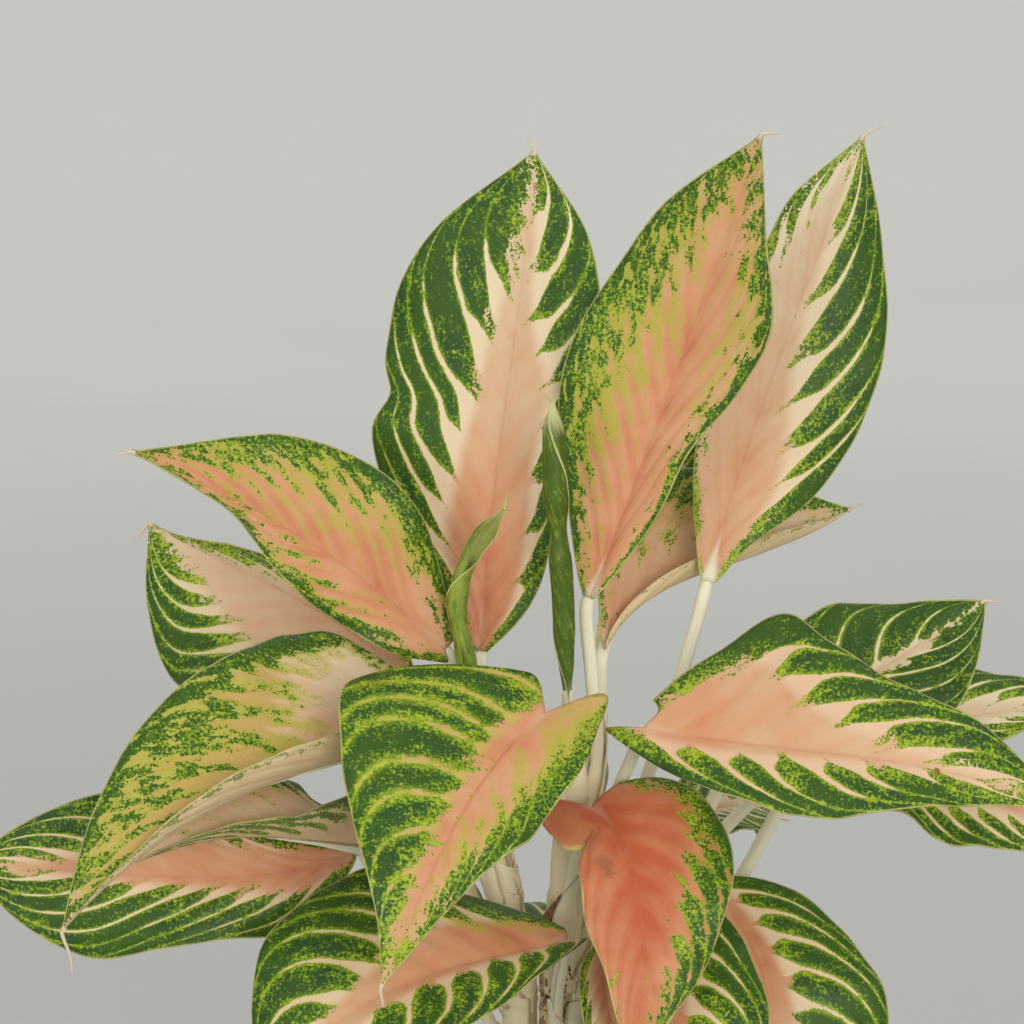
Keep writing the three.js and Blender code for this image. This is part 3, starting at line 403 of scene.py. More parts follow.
LOOKS = {
    "top_left": {
        "style": "dark", "slants": [(0.3, 0.25, 0.15), (0.15, 0.1, 0.05)], "pink": [1.05, 0.34, 0.06],
        "line": 4.2, "grain": 13, "patch": 18, "flecks": 0.6, "marks": [(0.93, 0.12, 1.8, 0.7)],
        "edge": [[0.6, 0.3, 0.26, 0.17, 0.05], [0.64, 0.6, 0.68, 0.15, 0.15]],
        "veins": [
            [(0, 0.9), (0.093, 0.88), (0.173, 0.98), (0.27, 0.85), (0.352, 0.83), (0.495, 0.68),
             (0.62, 0.45)],
            [(0, 0.8), (0.096, 0.95), (0.186, 0.95), (0.29, 1.0), (0.4, 1.0), (0.49, 0.95), (0.58, 0.7),
             (0.682, 1.0), (0.8, 0.8)],
        ],
    },
    "top_centre": {
        "style": "lime", "slants": [(0.3, 0.25, 0.15), (0.35, 0.25, 0.3)], "pink": [0.8, 0.7, 0.62],
        "stem": 0.5, "line": 1.8, "patch": 38, "grain": 20, "cap": 1.2,
        "edge": [[0.75, 0.66, 0.52, 0.45, 0.35], [0.95, 0.86, 0.72, 0.55, 0.4]],
        "lime": [[0.45, 0.3, 0.15, 0.1, 0.05], [0.75, 0.5, 0.35, 0.25, 0.1]],
        "veins": [
            [(0.03, 0.8), (0.12, 0.75), (0.2, 0.7), (0.29, 0.8), (0.36, 0.75), (0.44, 0.85), (0.52, 0.7),
             (0.62, 0.6)],
            [(0.1, 0.9), (0.22, 0.85), (0.34, 0.8), (0.45, 0.8), (0.57, 0.75), (0.68, 0.7)],
        ],
    },
    "top_right": {
        "style": "pink", "slants": [(0.3, 0.25, 0.15)] * 2, "pink": [0.72, 0.3, 0.03],
        "stem": 0.9, "line": 4.6,
        "edge": [[0.88, 0.86, 0.76, 0.5, 0.3], [0.62, 0.42, 0.2, 0.09, 0.05]],
        "veins": [
            [(0.1, 0.95), (0.25, 0.95), (0.4, 0.9), (0.55, 0.85), (0.68, 0.8), (0.8, 0.7)],
            [(0.05, 1.0), (0.155, 0.95), (0.3, 0.85), (0.415, 0.75), (0.57, 0.55), (0.7, 1.0), (0.86, 0.9)],
        ],
    },
    "top_behind": {
        "style": "lime", "pink": [0.8, 0.25, 0.1], "stem": 0.6, "under": 0.8, "cap": 3,
        "edge": [[0.95, 0.55, 0.4, 0.35, 0.3], [1.9] * 5],
        "lime": [[0.6, 0.4, 0.3, 0.25, 0.2], [0.7, 0.6, 0.5, 0.4, 0.3]],
    },
    "left_upper": {
        "style": "lime", "slants": [(0.3, 0.25, 0.15), (0.35, 0.25, 0.15)], "pink": [0.72, 0.74, 0.72],
        "edge": [[0.7, 0.6, 0.5, 0.45, 0.35], [0.68, 0.5, 0.36, 0.28, 0.25]],
        "lime": [[0.4, 0.3, 0.22, 0.15, 0.1], [0.4, 0.28, 0.12, 0.08, 0.05]],
        "veins": [
            [(0.05, 0.8), (0.15, 0.8), (0.27, 0.8), (0.4, 0.8), (0.55, 0.7), (0.7, 0.6)],
            [(0.08, 0.9), (0.16, 0.85), (0.235, 0.9), (0.36, 0.8), (0.44, 0.7), (0.53, 0.8), (0.65, 0.75),
             (0.76, 0.6)],
        ],
    },
    "left_small": {
        "style": "pink", "slants": [(0.55, 0.35, 0.15), (0.4, 0.3, 0.15)], "pink": [0.55, 0.35, 0.1],
        "line": 2.2, "haze": 0.35, "edge": [[0.62, 0.46, 0.34, 0.24, 0.16], [0.6, 0.45, 0.35, 0.25, 0.2]],
        "veins": [[(0.05, 0.9), (0.15, 0.9), (0.27, 0.85), (0.38, 0.9), (0.5, 0.8)], SPARSE_VEINS],
    },
    "left_arching": {
        "style": "lime", "slants": [(0.3, 0.2, 0.1), (0.35, 0.35, 0.15)], "pink": [0.12, 0.36, 0.4],
        "under": 0.75, "patch": 36, "haze": 0.5, "line": 4.2, "grain": 20,
        "edge": [[1.2, 1.1, 1.0, 0.9, 0.7], [0.85, 0.5, 0.18, 0.1, 0.1]],
        "lime": [[1.1, 0.9, 0.8, 0.6, 0.3], [0.7, 0.25, -0.1, -0.3, -0.4]],
        "veins": [
            EVEN_VEINS,
            [(0.06, 0.9), (0.165, 0.9), (0.27, 0.7), (0.4, 0.9), (0.5, 0.85), (0.6, 0.8), (0.7, 0.8)],
        ],
    },
    "left_folded": {
        "style": "lime", "pink": [0.2, 0.25, 0.3], "under": 0.4, "cap": 12, "grain": 12, "patch": 20,
        "edge": [[0.5, 0.1, 0, 0, 0], [0.7, 0.6, 0.5, 0.45, 0.4]],
        "lime": [[0.4, 0.3, 0.2, 0.1, 0.1], [0.7, 0.6, 0.5, 0.4, 0.3]],
    },
    "left_lowest": {
        "style": "dark", "slants": [(0.3, 0.25, 0.15)] * 2, "pink": [0.8, 0.72, 0.3],
        "edge": [[0.48, 0.3, 0.15, 0.1, 0.06], [0.75, 0.62, 0.45, 0.25, 0.12]],
        "veins": [
            [(0, 0.9), (0.11, 0.85), (0.21, 0.8), (0.31, 0.75), (0.41, 0.9), (0.52, 0.8), (0.63, 0.6),
             (0.75, 0.6)],
            [(0.05, 0.9), (0.18, 0.9), (0.3, 0.9), (0.42, 0.9), (0.55, 0.8), (0.66, 0.8), (0.78, 0.7)],
        ],
    },
    "front_heart": {
        "style": "dark", "slants": [(0.25, 0.2, 0.15), (0.1, 0.2, 0.1)], "pink": [0.66, 0.64, 0.5],
        "pale": "lime", "grain": 16, "patch": 24, "flecks": 0.9, "rib": 0.5,
        "line": 1.4, "funnel": 0.1, "haze": 0.3,
        "edge": [[0.68, 0.56, 0.46, 0.4, 0.36], [0.14, 0.1, 0.1, 0.18, 0.28]],
        "lime": [[0.2, 0.14, 0.12, 0.12, 0.1], [0.4, 0.34, 0.28, 0.25, 0.22]],
        "veins": [
            [(0.1, 0.7), (0.22, 0.8), (0.31, 0.8), (0.38, 0.7), (0.52, 0.8), (0.65, 0.7)],
            [(-0.02, 0.9), (0.075, 0.85), (0.14, 0.9), (0.2, 0.8), (0.3, 0.95), (0.38, 0.85), (0.48, 0.6),
             (0.6, 0.7), (0.72, 0.7)],
        ],
    },
    "front_low_left": {
        "style": "dark", "slants": [(0.05, 0.05, 0.12), (0.2, 0.25, 0.15)], "pink": [0.85, 0.6, 0.2],
        "haze": 0.3,
        "edge": [[0.12, 0.1, 0.14, 0.25, 0.3], [0.5, 0.42, 0.24, 0.12, 0.08]],
        "lime": [NO_LIME, [0.25, 0.3, 0.5, 1.0, 1.2]],
        "veins": [
            [(0, 0.9), (0.1, 0.95), (0.18, 0.95), (0.27, 0.95), (0.37, 0.9), (0.48, 0.9), (0.6, 0.8)],
            [(0.1, 0.9), (0.21, 0.9), (0.285, 0.8), (0.37, 0.9), (0.477, 0.7), (0.59, 0.9), (0.7, 0.8)],
        ],
    },
    "front_red": {
        "style": "red", "slants": [(0.25, 0.2, 0.2)] * 2,
        "veins": [
            [(0.02, 0.6), (0.12, 0.75), (0.24, 0.7), (0.37, 0.75), (0.5, 0.7), (0.64, 0.7)],
            SPARSE_VEINS,
        ],
        "marks": [(0.34, 0.5, 5, 0.5), (0.38, 0.46, 2.5, 0.6)],
    },
    "right_large": {
        "style": "pink", "slants": [(0.25, 0.2, 0.15), (0.15, 0.2, 0.15)], "pink": [0.66, 0.46, 0.16],
        "pale": "blush",
        "edge": [[0.7, 0.42, 0.28, 0.15, 0.08], [0.3, 0.2, 0.13, 0.08, 0.05]],
        "veins": [
            [(0.08, 0.9), (0.2, 0.95), (0.325, 0.75), (0.44, 0.85), (0.61, 0.5), (0.75, 0.6)],
            [(0.055, 0.8), (0.165, 0.85), (0.26, 0.7), (0.375, 0.8), (0.477, 0.6), (0.62, 0.35),
             (0.75, 0.7)],
        ],
        "marks": [(0.716, 0.02, 1.9, 1.0)],
    },
    "right_dark": {
        "style": "dark", "slants": [(0.15, 0.2, 0.15), (0.45, 0.3, 0.15)], "pink": [0.4, 0.15, 0.02],
        "line": 1.5, "funnel": 0.08, "grain": 6, "flecks": 0.1,
        "edge": [[0.3, 0.12, 0.08, 0.05, 0.04], [0.4, 0.2, 0.12, 0.1, 0.05]],
        "veins": [SPARSE_VEINS, [(0.15, 0.8), (0.3, 0.9), (0.45, 0.8), (0.6, 0.7)]],
    },
    "right_far": {
        "style": "pink", "pink": [0.4, 0.1, 0.0], "edge": [[0.5, 0.4, 0.3, 0.2, 0.1]] * 2,
    },
    "right_under": {
        "style": "pink", "pink": [0.8, 0.7, 0.6],
        "edge": [[0.7, 0.6, 0.5, 0.4, 0.25], [0.7, 0.5, 0.35, 0.25, 0.15]],
    },
    "right_small": {
        "style": "dark", "pink": [0.7, 0.4, 0.1], "edge": [[0.3, 0.15, 0.1, 0.08, 0.05]] * 2,
    },
    "low_right": {
        "style": "dark", "slants": [(0.1, 0.1, 0.25), (0.2, 0.2, 0.2)], "pink": [0.7, 0.62, 0.4],
        "edge": [[0.28, 0.16, 0.2, 0.22, 0.1], [0.35, 0.25, 0.2, 0.15, 0.1]],
        "veins": [
            [(0.02, 0.9), (0.12, 0.9), (0.22, 0.95), (0.34, 0.9), (0.47, 0.9), (0.6, 0.85), (0.72, 0.7)],
            EVEN_VEINS,
        ],
    },
    "low_front": {
        "style": "dark", "slants": [(0.08, 0.1, 0.3), (0.2, 0.2, 0.2)], "pink": [0.7, 0.62, 0.4],
        "edge": [[0.2, 0.15, 0.13, 0.2, 0.1], [0.5, 0.4, 0.3, 0.25, 0.15]],
        "veins": [
            [(0.08, 0.85), (0.2, 0.8), (0.32, 0.8), (0.44, 0.8), (0.57, 0.8), (0.7, 0.7)],
            EVEN_VEINS,
        ],
    },
    "low_narrow": {
        "style": "dark", "pink": [0.7, 0.62, 0.5],
        "edge": [[0.5, 0.4, 0.3, 0.25, 0.2], [0.6, 0.55, 0.45, 0.35, 0.25]],
    },
    "back_left": {"style": "dark"},
    "back_far_left": {"style": "lime"},
    "back_tall": {"style": "pink"},
    "back_low_left": {"style": "dark", "veins": [SPARSE_VEINS, EVEN_VEINS]},
    "back_low_right": {"style": "dark", "veins": [EVEN_VEINS, SPARSE_VEINS]},
    "back_centre": {"style": "pink", "pink": [0.7, 0.5, 0.3]},
}

# ---------- colours, linear ----------
CREAM = (0.67, 0.54, 0.36)
PEACH = (0.63, 0.40, 0.235)
SALMON = (0.60, 0.27, 0.135)
RED = (0.47, 0.105, 0.042)
LIME_WASH = (0.40, 0.38, 0.04)
LIME_SPECK = (0.24, 0.34, 0.012)
PALE_FLECK = (0.38, 0.45, 0.035)
MID_GREEN = (0.105, 0.20, 0.006)
DARK_GREEN = (0.038, 0.092, 0.007)
DEEP_GREEN = (0.022, 0.066, 0.015)
UNDERSIDE = (0.66, 0.51, 0.29)
PALE_MARGIN = (0.52, 0.50, 0.16)
STALK_CREAM = (0.78, 0.74, 0.55)
STALK_GREEN = (0.56, 0.58, 0.33)
SHEATH_TAN = (0.80, 0.68, 0.44)
CANE_TAN = (0.66, 0.52, 0.29)
CANE_GREEN = (0.50, 0.47, 0.23)
DRIED_BROWN = (0.16, 0.075, 0.03)
YOUNG_DARK = (0.062, 0.11, 0.008)
YOUNG_LIGHT = (0.25, 0.31, 0.04)
ROLL_EDGE = (0.56, 0.56, 0.25)
ROLL_TIP = (0.52, 0.50, 0.24)
ROLL_FACE = (0.42, 0.42, 0.12)
RIB_RED = (0.42, 0.12, 0.06)
SCAR_BROWN = (0.25, 0.1, 0.035)
HUSK_TAN = (0.36, 0.22, 0.11)
HUSK_PALE = (0.50, 0.37, 0.20)
GLAZE = (0.80, 0.77, 0.69)
POOLED_GLAZE = (0.72, 0.69, 0.61)
PINHOLE = (0.35, 0.29, 0.21)
BARE_CLAY = (0.56, 0.44, 0.32)
DAMP_SOIL = (0.016, 0.011, 0.008)
SOIL_CRUMB = (0.085, 0.055, 0.035)
DRY_SOIL = (0.11, 0.075, 0.05)
BARK = (0.12, 0.055, 0.026)
BARK_SHADE = (0.03, 0.017, 0.01)
PERLITE = (0.62, 0.60, 0.55)
PERLITE_SHADE = (0.40, 0.38, 0.33)
# painted shade: the floor's colour round the pot, darker than the far floor
NEAR_FLOOR_SHADE = (0.53, 0.535, 0.52)
FAR_FLOOR = (0.72, 0.73, 0.70)

PALE_LINES = {
    "cream": (0.78, 0.68, 0.45), "blush": (0.72, 0.53, 0.35), "salmon": SALMON, "lime": (0.44, 0.48, 0.08),
}


# ---------- shader building ----------
class Wire:
    """A number that changes over a surface: a shader socket with arithmetic."""

    def __init__(self, tree, socket):
        self.tree = tree
        self.socket = socket

    def maths(self, operation, *values):
        node = add(self.tree, "ShaderNodeMath", {"operation": operation}, values)
        return Wire(self.tree, node.outputs[0])

    def __add__(self, other):
        return self.maths("ADD", self, other)

    def __sub__(self, other):
        return self.maths("SUBTRACT", self, other)

    def __rsub__(self, other):
        return self.maths("SUBTRACT", other, self)

    def __mul__(self, other):
        return self.maths("MULTIPLY", self, other)

    def __truediv__(self, other):
        return self.maths("DIVIDE", self, other)

    def __pow__(self, other):
        return self.maths("POWER", self, other)

    def __gt__(self, other):
        return self.maths("GREATER_THAN", self, other)

    __radd__ = __add__
    __rmul__ = __mul__

    def size(self):
        return self.maths("ABSOLUTE", self)

    def least(self, other):
        return self.maths("MINIMUM", self, other)

    def most(self, other):
        return self.maths("MAXIMUM", self, other)

    def soft_least(self, other, width):
        """The lesser of two, with a rounded corner."""
        return self.maths("SMOOTH_MIN", self, other, width)

    def step(self, low, high):
        """0 below low, 1 above high, and smooth between them."""
        settings = {"interpolation_type": "SMOOTHSTEP"}
        node = add(self.tree, "ShaderNodeMapRange", settings, [self, low, high, 0, 1])
        return Wire(self.tree, node.outputs[0])


def add(tree, kind, settings=None, values=()):
    """Adds a node: its settings first, then the values or links of its sockets."""
    node = tree.nodes.new(kind)
    for key, value in (settings or {}).items():
        if key == "stops":
            set_stops(node.color_ramp, value)
        else:
            setattr(node, key, value)
    pairs = values.items() if isinstance(values, dict) else enumerate(values)
    for key, value in pairs:
        if isinstance(value, Wire):
            tree.links.new(value.socket, node.inputs[key])
        else:
            node.inputs[key].default_value = value
    return node


def set_stops(ramp, stops):
    """Puts a ramp's stops at their places; each is a place and a colour of three numbers."""
    while len(ramp.elements) < len(stops):
        ramp.elements.new(1.0)
    for element, (place, colour) in zip(ramp.elements, stops):
        element.position = place
        element.color = (*colour, 1)


class Finish:
    """A material in the making, with short ways to its usual nodes."""

    def __init__(self, name, **constants):
        self.material = bpy.data.materials.new(name)
        self.material.use_nodes = True
        self.tree = self.material.node_tree
        self.shader = self.tree.nodes["Principled BSDF"]
        for socket, value in constants.items():
            self.shader.inputs[socket.replace("_", " ")].default_value = value

    def attribute(self, name):
        """The three numbers of a piece's own attribute."""
        vector = add(self.tree, "ShaderNodeAttribute", {"attribute_name": name}).outputs["Vector"]
        parts = add(self.tree, "ShaderNodeSeparateXYZ", None, [Wire(self.tree, vector)])
        return [Wire(self.tree, part) for part in parts.outputs]

    def where(self):
        """Object coordinates, as a vector."""
        return Wire(self.tree, add(self.tree, "ShaderNodeTexCoord").outputs["Object"])

    def combine(self, *parts):
        return Wire(self.tree, add(self.tree, "ShaderNodeCombineXYZ", None, parts).outputs[0])

    def noise(self, vector, scale, detail=2.0, roughness=0.5):
        """Noise from about -0.5 to 0.5."""
        node = add(self.tree, "ShaderNodeTexNoise", None,
                   {"Vector": vector, "Scale": scale, "Detail": detail, "Roughness": roughness})
        return Wire(self.tree, node.outputs[0]) - 0.5

    def ramp(self, factor, stops, interpolation="LINEAR"):
        node = add(self.tree, "ShaderNodeValToRGB", {"stops": stops}, [factor])
        node.color_ramp.interpolation = interpolation
        return Wire(self.tree, node.outputs[0])

    def channels(self, colour):
        parts = add(self.tree, "ShaderNodeSeparateColor", None, [colour])
        return [Wire(self.tree, part) for part in parts.outputs]

    def blend(self, factor, first, second):
        """Goes from the first colour to the second."""
        values = {0: factor, 6: as_colour(first), 7: as_colour(second)}
        node = add(self.tree, "ShaderNodeMix", {"data_type": "RGBA", "clamp_factor": True}, values)
        return Wire(self.tree, node.outputs[2])

    def finish(self, colour, roughness, height=None, depth=0.0):
        """Links what changes over the surface to the shader. height is a relief, depth its size in mm."""
        links = {"Base Color": as_colour(colour), "Roughness": roughness}
        if height is not None:
            bump = add(self.tree, "ShaderNodeBump", None, {"Height": height, "Distance": depth * MM})
            links["Normal"] = Wire(self.tree, bump.outputs[0])
        for key, value in links.items():
            if isinstance(value, Wire):
                self.tree.links.new(value.socket, self.shader.inputs[key])
            else:
                self.shader.inputs[key].default_value = value
        return self.material


def as_colour(value):
    return value if isinstance(value, Wire) else (*value, 1)


# ---------- leaf finish ----------
RAMP_START = -0.1  # the ramps over s run from here
RAMP_SPAN = 1.1
END_ZONE = 0.08  # how far the first and the last vein's own zones go on, in s
STEP_GAP = 0.001  # between two stops of a ramp where its value jumps
VEIN_TURN = 0.65  # distance square to a vein for each step in s, as a share of the blade's length
BROAD_GRAIN = 45  # the noises' scales, in features for each metre
PATCH_GRAIN = 250
CRUMB_GRAIN = 780
FINE_GRAIN = 950
MOTTLE_STRETCH = 0.38  # along the veins against across them
FLECKS = [  # strength, the noise where each kind begins and is full, and its colour
    (0.75, 0.03, 0.16, MID_GREEN), (0.85, 0.14, 0.24, LIME_SPECK), (0.85, 0.24, 0.34, PALE_FLECK),
]
BLOTCHY_CAP = 5  # a cap below this leaves the green in blotches, and only its margin closed
RIM_LIFT = 6 * MM


def ramp_place(s):
    return (s - RAMP_START) / RAMP_SPAN


def vein_stops(veins):
    """Red is ten times the distance in s from the nearest vein, and green how far out its line reaches."""
    stops = []
    for (s, reach), (next_s, next_reach) in zip(veins, veins[1:]):
        gap = next_s - s
        stops.append((ramp_place(s), (0, reach, 0)))
        stops.append((ramp_place(s + gap / 2 - STEP_GAP), (5 * gap, reach, 0)))
        stops.append((ramp_place(s + gap / 2 + STEP_GAP), (5 * gap, next_reach, 0)))
    first, reach = veins[0]
    last, last_reach = veins[-1]
    room = min(END_ZONE, first - RAMP_START)
    before = (ramp_place(first - room), (10 * room, reach, 0))
    after = [
        (ramp_place(last), (0, last_reach, 0)),
        (ramp_place(last + END_ZONE), (10 * END_ZONE, last_reach, 0)),
    ]
    return [before, *stops, *after]


def station_stops(halves):
    """Red follows the left half's values over s, and green the right half's, brought to between 0 and 1."""
    return [
        (ramp_place(s), ((left + 0.5) / 2, (right + 0.5) / 2, 0))
        for s, left, right in zip(PATTERN_STATIONS, *halves)
    ]


class LeafFinish(Finish):
    """A middle zone of cream to salmon, mottled green fingers between pale side veins, and a pale margin.

    x, y and half are the place on the blade laid flat, and its half width there, in metres. length is the
    blade's, in mm.
    """

    def __init__(self, name, leaf, length):
        super().__init__(f"leaf_{name}", Specular_IOR_Level=0.22)
        self.look = leaf.look
        self.length = length
        self.q, self.t, self.under = self.attribute("place")
        self.x, self.y, self.half = self.attribute("flat")
        self.share = self.q.size()
        self.right = self.q > 0
        self.here = self.where()
        self.broad = self.noise(self.here, BROAD_GRAIN, 2)
        self.fine = self.noise(self.here, FINE_GRAIN, 2, 0.6)
        self.patch = self.noise(self.drawn_out(leaf), PATCH_GRAIN, 2, 0.55)
        self.place_veins()
        self.place_green()

    def either(self, values):
        """The first value on the left half of the blade and the second on the right half."""
        left_value, right_value = values
        return left_value + self.right * (right_value - left_value)

    def drawn_out(self, leaf):
        """The place laid flat, turned so that mottling is drawn out along the side veins as they climb."""
        climbs = [
            (slant + 0.5 * lean) * self.length / (0.75 * max(widths))
            for (slant, lean, _), widths in zip(self.look["slants"], (leaf.left, leaf.right))
        ]
        steep = self.either(climbs)
        shrink = self.either([1 / math.hypot(1, climb) for climb in climbs])
        aside = self.x.size()
        along = (aside + steep * self.y) * shrink
        across = (self.y - steep * aside) * shrink
        return self.combine(across, along * MOTTLE_STRETCH, 0.4 * self.right)

    def place_veins(self):
        """Finds s, the distance to the nearest side vein, and where the green and the wash begin."""
        slant, lean, bend = [self.either(pair) for pair in zip(*self.look["slants"])]
        straight = self.t - slant * self.share - bend * self.share ** 5
        self.s = straight / (1 + lean * self.share) + 0.02 * self.broad
        place = (self.s - RAMP_START) / RAMP_SPAN
        left, right = [self.channels(self.ramp(place, vein_stops(veins))) for veins in self.look["veins"]]
        self.off_vein = self.either((left[0], right[0])) * (0.1 * VEIN_TURN * self.length * MM)
        self.reach = self.either((left[1], right[1]))
        self.edge = self.at_stations("edge", place)
        self.wash = self.at_stations("lime", place)

    def at_stations(self, key, place):
        halves = self.channels(self.ramp(place, station_stops(self.look[key]), "B_SPLINE"))
        return 2 * self.either(halves[:2]) - 0.5

    def place_green(self):
        """Finds how far inside the green a point lies.

        The green reaches in between the side veins as rounded fingers. Each pale line is a funnel where it
        leaves the middle zone, and narrows on its way out.
        """
        look = self.look
        left_to_go = ((self.reach - self.share) / self.reach).most(0)
        line = look["line"] / 2 * MM * (8 * left_to_go).least(1) * (0.4 + 0.6 * left_to_go)
        funnel = (1 - (self.share - self.edge).step(-0.02, look["funnel"])) * (look["line"] * MM)
        self.past_line = self.off_vein - line - funnel * left_to_go.step(0, 0.2)
        past_edge = ((self.share - self.edge) * self.half).least(look["cap"] * MM)
        lift = RIM_LIFT if look["cap"] < BLOTCHY_CAP else 0
        self.past_edge = past_edge + lift * self.share.step(0.78, 0.95) * self.t.step(0.03, 0.2)
        ragged = (look["grain"] * MM) * self.fine + (look["patch"] * MM) * self.patch
        self.inside = self.past_line.soft_least(self.past_edge, 3 * MM)
        beside = self.past_line + look["line_ragged"] * ragged
        self.green = beside.soft_least(self.past_edge + ragged, 1.5 * MM)
        self.on_vein = 1 - (self.off_vein + 2 * MM * self.patch).step(0.4 * MM, 4 * MM)

    def middle_zone(self):
        """Cream to salmon, with the yellow-green wash over its outer part and the pale lines."""
        stops = [(place, (pink,) * 3) for place, pink in zip((0, 0.5, 1), self.look["pink"])]
        warmth = self.channels(self.ramp(self.t, stops, "B_SPLINE"))[0]
        warmth = warmth - 0.14 * self.share + 0.06 * self.on_vein + 0.5 * self.broad + 0.12 * self.patch
        veinlets = self.noise(self.combine(self.s * (1.4 * self.length), self.share * 5, 0), 1.0, 2, 0.6)
        warmth = warmth + 0.12 * veinlets
        colour = self.ramp(warmth, [(0, CREAM), (0.35, PEACH), (0.7, SALMON), (1, RED)])
        washed = (self.share - self.wash) * self.half - 8 * MM * self.on_vein
        washed = washed + 30 * MM * self.patch + 20 * MM * self.broad + 20 * MM * self.fine
        colour = self.blend(0.85 * washed.step(-4 * MM, 10 * MM), colour, LIME_WASH)
        pale_line = (1 - self.past_line.step(-0.3 * MM, 0.3 * MM)) * self.past_edge.step(-3 * MM, 2 * MM)
        strength = 0.65 - 0.4 * self.look["haze"]
        return self.blend(strength * pale_line, colour, PALE_LINES[self.look["pale"]])

    def with_green(self, colour):
        """Lime at the green's edge, then mid green, then dark, with lime and pale flecks in it."""
        green = self.green
        hazy = (0.6 * self.inside + 0.4 * green).step(-4 * MM, 5 * MM) * self.look["haze"]
        colour = self.blend(hazy, colour, LIME_SPECK)
        dark = self.blend((0.5 + 1.6 * self.broad).step(0.25, 0.8), DARK_GREEN, DEEP_GREEN)
        for low, high, tone in ((-0.2, 0.1, LIME_SPECK), (0, 0.6, MID_GREEN), (0.3, 1.4, dark)):
            colour = self.blend(green.step(low * MM, high * MM), colour, tone)
        crumbs = self.noise(self.here, CRUMB_GRAIN, 2, 0.7)
        fresh = 1 - (2.2 * self.past_line).least(0.6 * self.past_edge).step(0, 8 * MM)
        mottled = 1.1 * crumbs + 0.6 * self.patch + 0.35 * self.broad + (0.19 * self.look["flecks"]) * fresh
        inner = green.step(0, 0.6 * MM)
        for strength, low, high, tone in FLECKS:
            colour = self.blend(strength * mottled.step(low, high) * inner, colour, tone)
        return colour

    def with_details(self, colour):
        """The stalk's pale end, midrib, pale margin and tip, brown marks, and the paler underside."""
        look, x, t = self.look, self.x.size(), self.t
        stem_end = 1 - (x + 0.03 * t).step(1.6 * MM, 4.6 * MM)
        colour = self.blend(look["stem"] * stem_end, colour, STALK_CREAM)
        rib = (1 - x.step(0.3 * MM, 1.2 * MM)) * (1 - t) * t.step(0.02, 0.2)
        colour = self.blend(look["rib"] * rib, colour, RIB_RED)
        from_margin = (1 - self.share) * self.half + 0.8 * MM * self.fine
        colour = self.blend(0.75 * (1 - from_margin.step(0.3 * MM, 0.8 * MM)), colour, PALE_MARGIN)
        colour = self.blend(t.step(0.985, 1.0), colour, CREAM)
        for along, across, radius, depth in look["marks"]:
            away = ((t - along) * (self.length * MM)) ** 2 + ((self.q - across) * self.half) ** 2
            scar = 1 - (away ** 0.5 + 4 * MM * self.fine).step(0.4 * radius * MM, radius * MM)
            colour = self.blend(scar * depth, colour, SCAR_BROWN)
        paled = look["under"] * (1 - 0.65 * self.green.step(0, 1 * MM))
        return self.blend(self.under * paled, colour, UNDERSIDE)

    def make(self):
        colour = self.with_details(self.with_green(self.middle_zone()))
        relief = 0.4 * self.fine + 0.5 * self.patch - 0.6 * self.on_vein
        return self.finish(colour, 0.46 + 0.15 * self.patch, relief, 0.25)


# ---------- mesh building ----------
def unit(vector):
    return vector.normalized()


def to_metres(point):
    return Vector(point) * MM


def new_object(name, data):
    thing = bpy.data.objects.new(name, data)
    bpy.context.scene.collection.objects.link(thing)
    return thing


def new_shape(name, bm, materials, smooth=True):
    """Turns a finished bmesh into an object whose faces point outwards."""
    mesh = bpy.data.meshes.new(name)
    bmesh.ops.recalc_face_normals(bm, faces=bm.faces)
    bm.to_mesh(mesh)
    bm.free()
    for material in materials:
        mesh.materials.append(material)
    mesh.polygons.foreach_set("use_smooth", [smooth] * len(mesh.polygons))
    return new_object(name, mesh)


def new_piece(name, bm, materials, replaces, smooth=True):
    """A shape that rides on the plant's one body and takes a CAD node's place."""
    piece = new_shape(name, bm, materials, smooth)
    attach(piece, "root")
    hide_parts(replaces)
    return piece


def spun(profile, steps):
    """A profile of radii and heights, in metres, spun round the upright axis."""
    bm = bmesh.new()
    verts = [bm.verts.new((radius, 0, height)) for radius, height in profile]
    edges = [bm.edges.new(pair) for pair in zip(verts, verts[1:])]
    bmesh.ops.spin(bm, geom=verts + edges, cent=(0, 0, 0), axis=(0, 0, 1), angle=2 * math.pi, steps=steps,
                   use_merge=True)
    bmesh.ops.remove_doubles(bm, verts=bm.verts, dist=WELD * MM)
    return bm


def sheet_bmesh():
    """A bmesh whose vertices carry their place on the piece, their place laid flat, and the way out."""
    bm = bmesh.new()
    for name in ("place", "flat", "out"):
        bm.verts.layers.float_vector.new(name)
    return bm


def layer(bm, name):
    return bm.verts.layers.float_vector[name]


def drop_layers(bm, *names):
    for name in names:
        bm.verts.layers.float_vector.remove(layer(bm, name))


def rows_and_columns(bm, columns, rows):
    """A grid from (-1, -1) to (1, 1), to be laid out by a formula."""
    return bmesh.ops.create_grid(bm, x_segments=columns, y_segments=rows, size=1)["verts"]


def thin_sheet(bm, verts, half, under_mark=1):
    """Gives a laid-out grid its thickness, half of it, in mm, to each side."""
    out, place = layer(bm, "out"), layer(bm, "place")
    faces = list({face for vert in verts for face in vert.link_faces})
    for face in faces:
        face.normal_update()
    for vert in verts:
        vert.normal_update()
        vert[out] = vert.normal
    made = bmesh.ops.extrude_face_region(bm, geom=faces, use_keep_orig=True)["geom"]
    below = [item for item in made if isinstance(item, bmesh.types.BMVert)]
    for vert in verts:
        vert.co += vert[out] * half * MM
    for vert in below:
        vert.co -= vert[out] * half * MM
        q, t, _ = vert[place]
        vert[place] = (q, t, under_mark)
    return below


